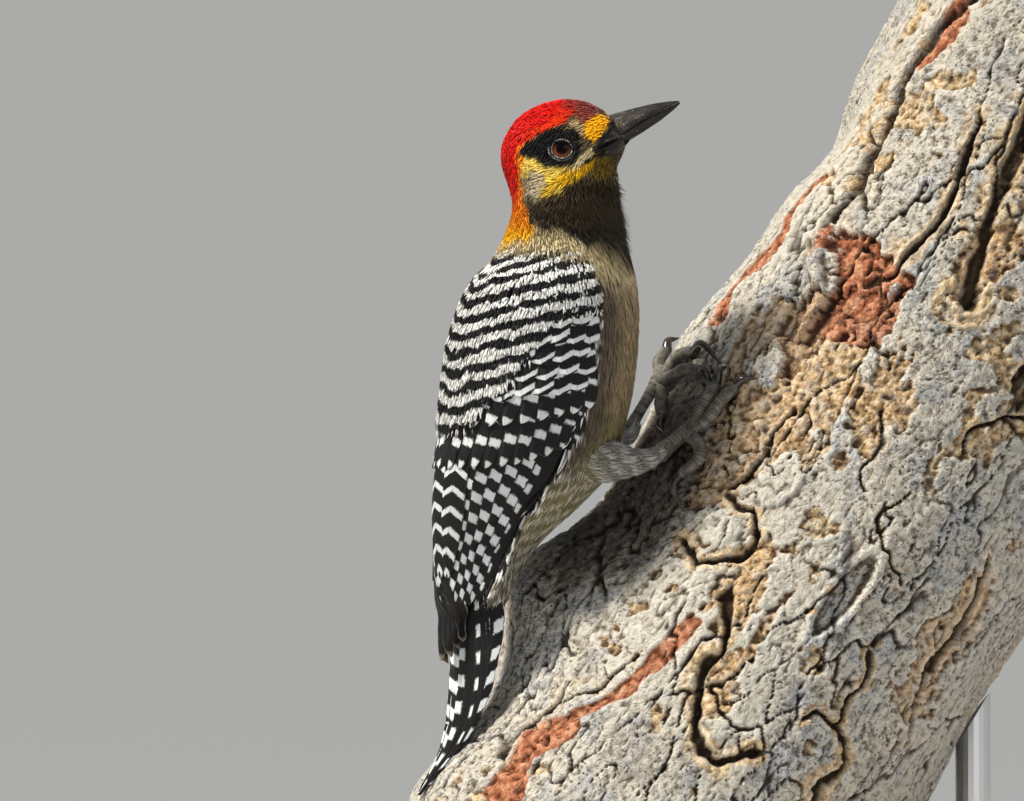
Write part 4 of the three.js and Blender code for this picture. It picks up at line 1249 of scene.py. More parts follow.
def eye_material():
    """Eye: a wet, clear cornea over a chestnut iris with fine spokes and a black pupil, the iris painted
    darker toward its top as the upper lid's shadow.
    """
    look, tree, place = material("wet eye")
    part = add(tree, "SeparateXYZ", [place]).node
    across = add(tree, "Math SUBTRACT", [part.outputs["X"], EYE_X * MM])
    up = add(tree, "Math SUBTRACT", [part.outputs["Z"], EYE_Z * MM])
    square = add(tree, "Math MULTIPLY", [across, across])
    reach = add(tree, "Math SQRT", [add(tree, "Math MULTIPLY_ADD", [up, up, square])])
    turn = add(tree, "Math ARCTAN2", [up, across])
    spin = add(tree, "CombineXYZ", [add(tree, "Math MULTIPLY", [turn, 9.0]),
                                    add(tree, "Math MULTIPLY", [reach, 500.0])])
    spoke = add(tree, "TexNoise", {"Vector": spin, "Scale": 1.0, "Detail": 3.0})
    spoke = add(tree, "Math SUBTRACT", [spoke, 0.5])
    bent = add(tree, "Math MULTIPLY_ADD", [spoke, 0.0005, reach])
    share = add(tree, "Math DIVIDE", [bent, EYE_RADIUS * MM])
    iris = ramp(tree, share, [(0.0, "020202"), (0.335, "020202"), (0.365, "2A1006"), (0.43, "54240E"),
                              (0.54, "6E3718"), (0.62, "3A1A0B"), (0.66, "160B07"), (0.72, "0A090A")])
    # the iris darker toward its top: painted shadow of the upper lid
    painted_lid_shadow = add(tree, "MapRange", {"Value": up, "From Min": -0.0016, "From Max": 0.0013,
                                       "To Min": 1.3, "To Max": 0.03})
    iris = add(tree, "Mix MULTIPLY", {"Factor": 1.0, 6: iris, 7: painted_lid_shadow})
    return finish(look, {"Base Color": iris, "Roughness": 0.5, "Specular IOR Level": 0.0,
                         "Coat Weight": 0.3, "Coat Roughness": 0.02, "Coat IOR": 1.376})


def mottled_material(name, scale, detail, stops, values):
    """A material whose colour drifts along a ramp from patch to patch."""
    look, tree, place = material(name)
    patch = add(tree, "TexNoise", {"Vector": place, "Scale": scale, "Detail": detail})
    return finish(look, {"Base Color": ramp(tree, patch, stops), **values})


def lid_material():
    """Bare skin round the eye: dark and matt."""
    return mottled_material("bare lid skin", 900.0, 3.0, [(0.3, "0F0F11"), (0.7, "201E20")],
                            {"Roughness": 0.6, "Specular IOR Level": 0.25})


def bead_material():
    """Lid scales: small rounded keratin beads, grey and slightly polished."""
    return mottled_material("lid scale", 600.0, 2.0, [(0.3, "6C6A68"), (0.7, "9C9A96")],
                            {"Roughness": 0.45})


def make_eyes():
    eye_look, lid_look, bead_look = eye_material(), lid_material(), bead_material()
    for side, word in ((1, "right"), (-1, "left")):
        middle = Vector((EYE_X, HEAD_Y - side * EYE_SIDE, EYE_Z))
        bm = bmesh.new()
        bmesh.ops.create_uvsphere(bm, u_segments=40, v_segments=24, radius=EYE_RADIUS)
        bmesh.ops.rotate(bm, verts=bm.verts, matrix=Matrix.Rotation(math.radians(90), 3, "X"))
        bmesh.ops.translate(bm, verts=bm.verts, vec=middle)
        dress(from_bmesh("eyeball_" + word, bm), "eye", "eye_" + word, look=eye_look)

        def lid_point(turn, long_, tall, over):
            x, z = EYE_X + long_ * math.cos(turn), EYE_Z + tall * math.sin(turn)
            flat = math.hypot(x - EYE_X, z - EYE_Z)
            ball = EYE_SIDE + math.sqrt(max(EYE_RADIUS ** 2 - flat ** 2, 0.0))
            skin = side_of_head(x, z, side) - 0.85
            share = ease(2.7, 3.9, flat)
            out = ball * (1 - share) + skin * share + over
            return np.array([x, HEAD_Y - side * out, z])

        bm = bmesh.new()
        section = [(2.62, 2.38, -0.35), (2.66, 2.42, 0.14), (2.95, 2.66, 0.30), (3.3, 2.9, 0.22),
                   (3.7, 3.15, 0.30), (4.15, 3.45, 0.16), (4.6, 3.8, -0.5)]
        turns = np.linspace(0, 2 * math.pi, 48, endpoint=False)
        loft(bm, [[lid_point(turn, *measures) for turn in turns] for measures in section], closed=False)
        lid = from_bmesh("lid_" + word, bm)
        thick = lid.modifiers.new("thickness", "SOLIDIFY")
        thick.thickness = 0.25 * MM
        thick.offset = 0.0
        dress(lid, "eye", look=lid_look)
        bm = bmesh.new()
        for count, long_, tall, size, over in ((30, 2.86, 2.6, 0.20, 0.30), (40, 3.78, 3.22, 0.21, 0.30)):
            for k in range(count):
                turn = 2 * math.pi * (k + 0.2 * math.sin(k * 7.3)) / count
                made = bmesh.ops.create_icosphere(bm, subdivisions=1, radius=size * (0.9 + 0.25 * (k % 3)))
                bmesh.ops.translate(bm, verts=made["verts"], vec=Vector(lid_point(turn, long_, tall, over)))
        dress(from_bmesh("lid_scales_" + word, bm), "eye", look=bead_look)


# ---------------------------------------------------------------- bill

BILL_ROOT = np.array([-80.2, -58.0, 236.6])
BILL_LENGTH = 23.2
BILL_WAY = np.array([math.cos(math.radians(BILL_RISE)), 0, math.sin(math.radians(BILL_RISE))])
BILL_UP = np.array([-math.sin(math.radians(BILL_RISE)), 0, math.cos(math.radians(BILL_RISE))])
# share of the length, half depth, half width
BILL_SIZE = np.array([[-0.2, 5.3, 6.6], [-0.06, 5.1, 6.1], [0.08, 4.7, 5.4], [0.2, 4.3, 4.5],
                      [0.32, 3.9, 3.6], [0.45, 3.5, 2.9], [0.7, 2.5, 1.85], [0.9, 1.25, 1.0],
                      [1.0, 0.4, 0.45]])
# where the two halves meet, as a share of the half depth: it falls toward the mouth's corner
BILL_MEETING = np.array([[-0.2, -0.56], [0.1, -0.44], [0.25, -0.34], [0.45, -0.19], [0.7, -0.08],
                         [1.0, 0.06]])


def bill_ring(share, upper, count=15):
    """One cross section of half of the bill: keeled on its outer side, flat where the halves meet."""
    deep, wide = look_up(BILL_SIZE, share)
    meet = look_up(BILL_MEETING, share)[0] * deep
    lap = wide * math.sqrt(max(1 - (meet / deep) ** 2, 0.05))
    points = []
    first = 0 if upper else math.pi
    for turn in np.linspace(first, first + math.pi, count):
        out, up = math.cos(turn), math.sin(turn)
        if upper:
            keel = 1 + 0.05 * math.exp(-((turn - math.pi / 2) / 0.25) ** 2)
            flank = 1 - 0.10 * math.sin(2 * turn) ** 2
            y = lap * 1.04 * out * flank + (wide - lap) * out * up
            z = meet - 0.05 + (deep - meet) * up * keel * flank
        else:
            flank = 1 - 0.08 * math.sin(2 * turn) ** 2
            y = lap * 0.93 * out * flank
            z = meet - 0.12 + (deep + meet) * up * flank
        points.append(BILL_ROOT + BILL_WAY * share * BILL_LENGTH + BILL_UP * z + np.array([0, -1, 0]) * y)
    return points


# The horn that runs back from the bill under the face's feathers: ahead of and above the eye, and
# half of its width, for the upper and the lower half of the bill.
HORN_ROOTS = {
    True: [(9.9, 0.75, 0.2), (11.2, 2.2, 0.85), (13.0, 3.5, 1.4), (15.2, 5.0, 1.75), (17.4, 6.2, 1.6)],
    False: [(8.9, -0.7, 0.2), (10.6, -0.4, 0.7), (12.4, -0.4, 1.15), (14.3, 0.1, 1.55),
            (16.2, 1.45, 1.45), (18.2, 3.2, 1.1)],
}


def side_of_bill(x, z):
    """How far out the bill's flank lies from its mid plane at a place seen from the side, 0 off it."""
    gap = np.array([x - BILL_ROOT[0], 0, z - BILL_ROOT[2]])
    deep, wide = look_up(BILL_SIZE, gap @ BILL_WAY / BILL_LENGTH)
    return wide * math.sqrt(max(0.0, 1 - (gap @ BILL_UP / deep) ** 2))


def horn_root(bm, path, side):
    """A thin tongue of horn that follows the side of the face from the mouth's corner to the bill."""
    measures = spline(path, 26)
    forward = unit(np.gradient(measures[:, :2], axis=0))
    rings = []
    for k, (ahead, above, half) in enumerate(measures):
        sunk = 1.1 * ease(0.7, 1.0, k / 25) + 0.35 * ease(0.2, 0.0, k / 25)
        ring = []
        for turn in np.linspace(0, 2 * math.pi, 14, endpoint=False):
            x = EYE_X + ahead - forward[k, 1] * half * math.cos(turn)
            z = EYE_Z + above + forward[k, 0] * half * math.cos(turn)
            out = max(side_of_head(x, z, side), side_of_bill(x, z)) + 0.12 - sunk
            out += (0.5 if turn < math.pi else 0.9) * math.sin(turn)
            ring.append(np.array([x, HEAD_Y - side * out, z]))
        rings.append(ring[::side])
    loft(bm, rings)


def bill_material():
    """Bill: slate-grey horn with long fibres, scuffs and a pale scrape; the upper half is painted paler
    than the near-black lower half, partly the horn's own tones and partly painted light on top and painted
    shade beneath.
    """
    look, tree, place = material("slate horn")
    turned = add(tree, "VectorRotate", {"Vector": place, "Center": tuple(BILL_ROOT * MM),
                                        "Axis": (0, 1, 0), "Angle": math.radians(BILL_RISE)})
    long_ = add(tree, "VectorMath MULTIPLY", {0: turned, 1: (0.16, 1, 1)})
    fibre = add(tree, "TexNoise", {"Vector": long_, "Scale": 2600.0, "Detail": 3.0})
    patch = add(tree, "TexNoise", {"Vector": place, "Scale": 420.0, "Detail": 4.0})
    tone = add(tree, "Math MULTIPLY_ADD", [fibre, 0.5, add(tree, "Math MULTIPLY", [patch, 0.5])])
    tone = ramp(tree, tone, [(0.36, "171515"), (0.5, "2E2A28"), (0.62, "57504A"), (0.7, "857A70")])
    # the lower half near black and the upper half paler: partly the horn's own tones, partly painted light
    # on top and painted shade beneath
    lower = ramp(tree, fibre, [(0.3, "0A0909"), (0.7, "1E1C1B")])
    upper = add(tree, "Attribute", out="Fac", attribute_name="upper")
    colour = add(tree, "Mix", {"Factor": upper, 6: lower, 7: tone})
    ahead = add(tree, "MapRange", {"Value": add(tree, "SeparateXYZ", [turned]),
                                   "From Min": BILL_ROOT[0] * MM,
                                   "From Max": (BILL_ROOT[0] + BILL_LENGTH) * MM})
    darker = ramp(tree, ahead, [(0.05, "FFFFFF"), (0.4, "C8C8C8"), (0.75, "7C7C7C")])
    colour = add(tree, "Mix MULTIPLY", {"Factor": 1.0, 6: colour, 7: darker})
    scuff = add(tree, "TexNoise", {"Vector": place, "Scale": 1500.0, "Detail": 4.0})
    scuff = add(tree, "MapRange", {"Value": scuff, "From Min": 0.67, "From Max": 0.73, "To Max": 0.5})
    colour = add(tree, "Mix", {"Factor": scuff, 6: colour, 7: linear("B9B2A2")})
    bump = add(tree, "Bump", {"Height": fibre, "Strength": 0.35, "Distance": 0.0002})
    return finish(look, {"Base Color": colour, "Normal": bump, "Roughness": 0.42,
                         "Specular IOR Level": 0.28})


def make_bill():
    look = bill_material()
    shares = np.concatenate([np.linspace(-0.18, 0.9, 28), np.linspace(0.92, 1.0, 6)])
    nostril = BILL_ROOT + BILL_WAY * 4.6 + BILL_UP * 1.7
    for upper, name in ((True, "bill_upper"), (False, "bill_lower")):
        bm = bmesh.new()
        loft(bm, [bill_ring(share, upper) for share in shares])
        for side in (1, -1):
            horn_root(bm, HORN_ROOTS[upper], side)
        # a slit of a nostril under the feathers on each side of the upper half
        for vert in bm.verts:
            gap = np.array(vert.co) - nostril
            if upper and abs(gap @ BILL_WAY) < 1.4 and abs(gap @ BILL_UP) < 0.7:
                for side in (1, -1):
                    if abs(vert.co.y - HEAD_Y + side * 3.0) < 0.9:
                        vert.co.y += side * 0.45
        made = from_bmesh(name + "_horn", bm)
        hold(made.data, upper=np.full(len(made.data.vertices), float(upper)))
        dress(made, "bill_horn", name, look=look)


# Where the bristles stand that point forward over the bill's root: ahead of and above the eye.
BRISTLE_ROOTS = np.array([[13.2, 7.4], [12.4, 5.8], [11.2, 4.0], [10.0, 2.2], [9.0, 0.6], [8.4, -0.8],
                          [10.4, -1.9]])
BRISTLES = 54


def bristle_material():
    """Bristle: stiff, dark feather shafts about the mouth, some of them pale."""
    return mottled_material("mouth bristle", 500.0, 1.0,
                            [(0.45, "120E0B"), (0.58, "30261A"), (0.7, "8A7448")],
                            {"Roughness": 0.6, "Specular IOR Level": 0.2})


def make_bristles():
    """Bristles from the face over the horn of the bill's root."""
    source = np.random.default_rng(12)
    bm = bmesh.new()
    roots = []
    for side in (1, -1):
        for share in np.linspace(0, len(BRISTLE_ROOTS) - 1.001, BRISTLES):
            k, part = int(share), share % 1
            start = BRISTLE_ROOTS[k] * (1 - part) + BRISTLE_ROOTS[k + 1] * part + source.normal(0, 0.3, 2)
            way = math.radians(BILL_RISE + source.normal(-6, 10))
            step = source.uniform(1.6, 3.6) * np.array([math.cos(way), math.sin(way)])
            (x, z), (far_x, far_z) = start + [EYE_X, EYE_Z], start + [EYE_X, EYE_Z] + step
            near = max(side_of_head(x, z, side), side_of_bill(x, z))
            far = max(side_of_head(far_x, far_z, side), side_of_bill(far_x, far_z), near - 1.6)
            path = []
            for s, rise, radius in ((0, -0.4, 0.2), (0.35, 0.75, 0.24), (0.7, 1.0, 0.17), (1, 0.8, 0.05)):
                out = near * (1 - s) + far * s + rise
                path.append((x + s * step[0], HEAD_Y - side * out, z + s * step[1], radius))
            loft(bm, limb_rings(path, 4, 6, least=0.04))
            roots.append(path[0][:3])
    made = from_bmesh("bristles", bm)
    ring, angle = locate(BIRD, np.array(roots))
    number = np.arange(len(made.data.vertices))
    each = len(number) // len(roots)
    spread = np.stack([number % 4 / 4, number % each / each], -1) * PATCH
    place = np.stack([(angle / (2 * math.pi)) % 1, ring / BIRD.rings], -1)[number // each]
    unwrap(made.data, 0.004 + place * 0.988 + spread)
    dress(made, "plumage_crown", look=bristle_material())


# ---------------------------------------------------------------- legs

TOE_RADII = [2.0, 1.85, 1.8, 1.5, 1.1]
CLAW_RADII = [1.1, 1.45, 1.15, 0.14]
# Places on the trunk are (distance up it, degrees round it, height over the bark). A toe has its digit,
# three knuckles and the middle and point of its claw.
LEGS = {
    "right": dict(ankle=(-67.4, -57, 147), joint=(88, 37, 3.4), toes=[
        (2, [(92, 37, 2.2), (98.6, 37.8, 2.8), (104, 37.2, 2)], [(108, 36.6, 2.4), (110.6, 36.2, 0.3)]),
        (3, [(92.6, 40.6, 2.2), (99, 42.2, 2.8), (105, 43.4, 2)], [(108.4, 45.4, 2.5), (110.4, 47.4, 0.3)]),
        (4, [(86.6, 42, 2.2), (82.4, 45.6, 3), (76.8, 42.4, 2.1)], [(72, 42.6, 2.8), (67.6, 46.8, 0.3)]),
        (1, [(85, 34, 2), (82, 32.6, 2.2), (79.4, 31.8, 1.7)], [(76.4, 31.4, 2.2), (74.4, 31.2, 0.3)]),
    ]),
    "left": dict(ankle=(-73.8, -27, 152.6), joint=(101, 14, 3.6), toes=[
        (2, [(103.6, 19.6, 2.2), (105.6, 24.4, 2.8), (106.6, 28.8, 2)],
         [(106.2, 32.4, 2.5), (104, 34.6, 0.3)]),
        (3, [(106.2, 16, 2.2), (109.4, 19, 2.8), (111.4, 22.8, 2.2)], [(113.6, 28, 3.8), (110.6, 34, 0.3)]),
        (4, [(104, 9.6, 2.2), (108, 5, 2.8), (112, 2.4, 2)], [(115.4, 1.2, 2.6), (118, 0.4, 0.3)]),
        (1, [(97.6, 16.6, 2), (94.8, 19, 2.4), (92, 21, 1.7)], [(89.2, 22.8, 2.2), (87.2, 24, 0.3)]),
    ]),
}


def scuted_tube(path, count, scute, lift, around=14):
    """A tube round a path of (x, y, z, radius) whose upper side steps up in scutes of one length."""
    measures = spline(path, count)
    middles, radii = measures[:, :3], measures[:, 3]
    length = np.concatenate([[0], np.cumsum(np.linalg.norm(np.diff(middles, axis=0), axis=1))])
    steps = (length / scute) % 1
    out = unit(middles - PERCH_FROM - np.outer((middles - PERCH_FROM) @ PERCH_ALONG, PERCH_ALONG))
    forward = unit(np.gradient(middles, axis=0))
    top = unit(out - forward * (out * forward).sum(-1, keepdims=True))
    side = np.cross(forward, top)
    rings = []
    for k, middle in enumerate(middles):
        ring = []
        for turn in np.linspace(0, 2 * math.pi, around, endpoint=False):
            ridge = lift * (0.35 + 0.65 * max(math.sin(turn), 0)) * (1 - steps[k]) ** 1.5
            flat = 0.93 if math.sin(turn) < -0.5 else 1.0
            reach = radii[k] * flat + ridge
            ring.append(middle + reach * (math.cos(turn) * side[k] + math.sin(turn) * top[k]))
        rings.append(ring)
    bm = bmesh.new()
    loft(bm, rings)
    seam = bm.verts.layers.float.new("seam")
    for index, vert in enumerate(bm.verts):
        vert[seam] = steps[index // around]
    return bm


def leg_material():
    """Leg skin: dull grey scutes, paler on their edges, dark and dusty in the joints between."""
    look, tree, place = material("scaly leg skin")
    patch = add(tree, "TexNoise", {"Vector": place, "Scale": 520.0, "Detail": 4.0})
    tone = ramp(tree, patch, [(0.32, "403F3C"), (0.5, "635F56"), (0.68, "857F70")])
    seam = add(tree, "Attribute", out="Fac", attribute_name="seam")
    scutes = ramp(tree, seam, [(0.0, "FFFFFF"), (0.4, "E0E0E0"), (0.75, "B0B0B0"), (0.95, "707070")])
    tone = add(tree, "Mix MULTIPLY", {"Factor": 1.0, 6: tone, 7: scutes})
    grainy = add(tree, "TexVoronoi", {"Vector": place, "Scale": 1900.0})
    bump = add(tree, "Bump", {"Height": grainy, "Strength": 0.5, "Distance": 0.0002})
    return finish(look, {"Base Color": tone, "Normal": bump, "Roughness": 0.6})


def claw_material():
    """Claw: dark horn, smooth and glossy, browner in patches."""
    return mottled_material("dark claw horn", 300.0, 2.0,
                            [(0.3, "121010"), (0.55, "292320"), (0.75, "4A423B")], {"Roughness": 0.24})


def make_legs():
    skin_look, horn_look = leg_material(), claw_material()
    for word, leg in LEGS.items():
        joint, ankle = on_perch(*leg["joint"]), np.array(leg["ankle"])
        knee = ankle + 0.12 * (ankle - joint)
        path = [(*knee, 1.7), (*ankle, 1.95), (*(0.5 * (ankle + joint)), 1.6),
                (*(0.15 * ankle + 0.85 * joint), 1.85), (*joint, 2.2)]
        shin = scuted_tube(path, 60, 1.7, 0.14, 16)
        dress(from_bmesh("tarsus_skin_" + word, shin), "leg_skin", "tarsus_" + word, look=skin_look)
        for digit, knuckles, tip in leg["toes"]:
            name = "%d_%s" % (digit, word)
            line = [on_perch(*place) for place in knuckles]
            lead = unit(line[-1] - line[-2])
            path = [(*p, r) for p, r in zip([joint] + line + [line[-1] + 0.9 * lead], TOE_RADII)]
            toe = scuted_tube(path, 110, 0.85, 0.2)
            dress(from_bmesh("toe_skin_" + name, toe), "leg_skin", "toe_" + name, look=skin_look)
            ends = [line[-1] - 0.4 * lead, line[-1] + 1.0 * lead] + [on_perch(*place) for place in tip]
            claw = bmesh.new()
            loft(claw, limb_rings([(*p, r) for p, r in zip(ends, CLAW_RADII)], 12, 22, least=0.1))
            dress(from_bmesh("claw_horn_" + name, claw), "claw_horn", "claw_" + name, look=horn_look)


# ---------------------------------------------------------------- trunk

PERCH_FROM = np.array([-60.0, -20.5, 46.5])
PERCH_ALONG = unit(np.array([0.593, 0.2126, 1.0]))
PERCH_LEFT = unit(-np.cross([0.0, 1.0, 0.0], PERCH_ALONG))
PERCH_NEAR = unit(-np.cross(PERCH_LEFT, PERCH_ALONG))
PERCH_RADIUS = 61.5
PERCH_TOP = 250.0
PERCH_CUT = 44.0
MOST_SIDES = 40              # of any face but the two sawn ends
# distance up the trunk, angle round it, height, reach up and down, and spread round in degrees
SWELLINGS = [(118, 5, 5, 24, 35), (34, 0, 14, 19, 30), (190, 0, -5, 14, 30), (-30, 8, 5, 18, 35),
             (205, 150, 4, 30, 40), (60, 200, -3, 30, 30)]
MM_PER_DEGREE = PERCH_RADIUS * math.pi / 180

# Deep cracks: points (distance up, angle), half width, depth, and how much tan shows on the walls.
CRACKS = [
    ([(240, 44), (226, 36), (210, 34), (194, 37), (181, 40), (170, 43), (158, 40)], 3.2, 3.6, 0.2),
    ([(206, 64), (190, 67), (174, 68), (165, 66), (156, 64), (149, 60)], 1.5, 3.0, 0.7),
    ([(212, 77), (199, 80), (188, 81), (178, 82), (166, 85), (156, 88)], 2.8, 3.4, 0.9),
    ([(122, 108), (127, 105), (132, 107), (137, 112), (140, 117)], 1.0, 2.2, 0.4),
    ([(52, 70), (45, 74), (38, 78), (31, 77), (24, 79), (12, 84), (7, 89), (10, 93), (16, 97)],
     1.7, 3.2, 0.9),
    ([(58, 112), (50, 115), (43, 113), (37, 115), (33, 109), (30, 106)], 1.2, 2.4, 0.9),
    ([(37, 115), (30, 122), (22, 119), (14, 121), (2, 118)], 1.5, 2.6, 0.9),
    ([(106, 60), (98, 57), (90, 59), (80, 56)], 1.1, 2.2, 0.6),
    ([(78, 57), (74, 66), (67, 69), (60, 66), (57, 59), (60, 53)], 1.3, 2.6, 0.9),
    ([(120, 82), (112, 86), (103, 84), (98, 88)], 0.7, 1.6, 0.3),
    ([(101, 100), (92, 97), (84, 102), (76, 108)], 0.7, 1.6, 0.4),
    ([(10, 45), (0, 43), (-8, 37), (-18, 36)], 1.2, 2.4, 0.3),
    ([(26, 58), (18, 55), (9, 50), (2, 44)], 0.8, 1.8, 0.3),
    ([(240, 100), (222, 97), (205, 101), (190, 98)], 1.8, 3.0, 0.6),
    ([(176, 108), (160, 113), (147, 110)], 1.4, 2.6, 0.6),
    ([(98, 130), (78, 136), (60, 132), (45, 138)], 1.6, 3.0, 0.5),
    ([(225, 135), (200, 140), (178, 136), (150, 143), (130, 138)], 2.0, 3.2, 0.5),
    ([(120, 165), (90, 170), (60, 166)], 1.8, 3.0, 0.5),
    ([(230, 180), (190, 186), (150, 181), (110, 188)], 2.2, 3.4, 0.5),
    ([(220, 225), (180, 220), (140, 228), (90, 222)], 2.2, 3.4, 0.5),
    ([(235, 270), (190, 262), (150, 270), (100, 264), (50, 270)], 2.2, 3.4, 0.5),
    ([(210, 315), (170, 322), (120, 316), (80, 322)], 2.0, 3.2, 0.5),
    ([(80, 300), (40, 306), (0, 300)], 2.0, 3.0, 0.5),
]
# Stripes of rusty inner bark: points, and half width.
RUST_LINES = [
    ([(42, 67), (36, 66), (28, 64), (13, 59), (1, 50), (-8, 45)], 2.2),
    ([(-4, 49), (-12, 43), (-20, 42), (-28, 44)], 5.5),
    ([(172, 24), (160, 20), (150, 24), (136, 19), (124, 22)], 3.0),
    ([(234, 40), (222, 40), (214, 36)], 5.0),
]
# Bare rusty or tan patches: distance up, angle, half length, half width, depth, rust, tan.
PATCHES = [
    (150, 55, 11, 13, 2.4, 1.0, 0.3),
    (138, 62, 10, 12, 1.6, 0.9, 0.5),
    (128, 50, 12, 8, 3.0, 0.3, 0.8),
    (112, 62, 26, 14, 1.2, 0.1, 1.0),
    (124, 80, 14, 8, 1.2, 0.1, 1.0),
    (92, 48, 22, 10, 1.2, 0.1, 0.9),
    (166, 86, 14, 5, 1.6, 0.2, 1.0),
    (56, 72, 14, 7, 1.4, 0.15, 1.0),
    (118, 40, 14, 8, 1.6, 0.1, 0.7),
    (40, 84, 24, 4, 1.0, 0.15, 1.0),
    (70, 132, 22, 9, 1.4, 0.1, 0.8),
    (190, 120, 18, 8, 1.4, 0.2, 0.8),
    (140, 200, 30, 12, 1.6, 0.4, 0.8),
    (80, 250, 24, 12, 1.6, 0.3, 0.8),
    (180, 300, 24, 12, 1.6, 0.3, 0.8),
]


def turned_by(angle, facing):
    """Degrees from facing round to angle, from -180 to 180."""
    return (angle - facing + 540) % 360 - 180


def perch_radius(distance, angle):
    """The trunk's smooth radius, with its broad swellings."""
    radius = np.full(np.shape(distance), PERCH_RADIUS)
    for centre, facing, height, reach, spread in SWELLINGS:
        turn = turned_by(angle, facing)
        radius = radius + height * np.exp(-((distance - centre) / reach) ** 2 - (turn / spread) ** 2)
    return radius


def on_perch(distance, angle, height):
    """Points a height over the trunk's smooth surface, by distance up it and degrees round it."""
    distance, angle, height = np.broadcast_arrays(distance, angle, height)
    turn = np.radians(angle)[..., None]
    out = np.cos(turn) * PERCH_LEFT + np.sin(turn) * PERCH_NEAR
    reach = (perch_radius(distance, angle) + height)[..., None]
    return PERCH_FROM + distance[..., None] * PERCH_ALONG + out * reach


def grain(points, size, seed):
    """Lattice noise from 0 to 1 with lumps about size across."""
    lattice = np.random.default_rng(seed).random((32, 32, 32))
    place = points / size + 100
    cell = np.floor(place).astype(int)
    f = place - cell
    f = f * f * (3 - 2 * f)
    total = 0
    for corner in range(8):
        step = np.array([corner & 1, corner >> 1 & 1, corner >> 2])
        weight = np.prod(np.where(step == 1, f, 1 - f), axis=-1)
        at = (cell + step) % 32
        total = total + weight * lattice[at[:, 0], at[:, 1], at[:, 2]]
    return total


def path_distance(path, distance, angle):
    """How far points on the trunk are from a path on it, in millimetres, along its surface."""
    spots = spline([list(p) + [0] for p in path], 8 * len(path))[:, :2]
    spots = spots * [1, MM_PER_DEGREE]
    here = np.stack([distance, angle * MM_PER_DEGREE], -1)
    best = np.full(len(here), 1e9)
    for one, two in zip(spots, spots[1:]):
        line = two - one
        share = np.clip(((here - one) @ line) / max(line @ line, 1e-9), 0, 1)
        gap = here - one - share[:, None] * line
        best = np.minimum(best, (gap * gap).sum(-1))
    return np.sqrt(best)


def plates(distance, angle):
    """Bark plates, longer than wide: distance to the nearest plate's edge and a number for each."""
    source = np.random.default_rng(77)
    count, shorten = 210, 0.42

    def wrap(t, phi):
        turn = np.radians(phi)
        return np.stack([PERCH_RADIUS * np.cos(turn), PERCH_RADIUS * np.sin(turn), t * shorten], -1)

    up = source.uniform(-60, 260, count)
    tree = point_tree(wrap(up, source.uniform(0, 360, count)))
    found = [tree.find_n(p, 2) for p in wrap(distance, angle)]
    edge_gap = np.array([two[2] - one[2] for one, two in found])
    return edge_gap, np.array([one[1] for one, _ in found])


def rubble(points, size, octaves, seed):
    """Layered noise about 0 whose largest lumps are size across, each layer half as large."""
    total = 0
    for layer in range(octaves):
        total = total + (grain(points, size / 2 ** layer, seed + layer) - 0.5) * 0.62 ** layer
    return total


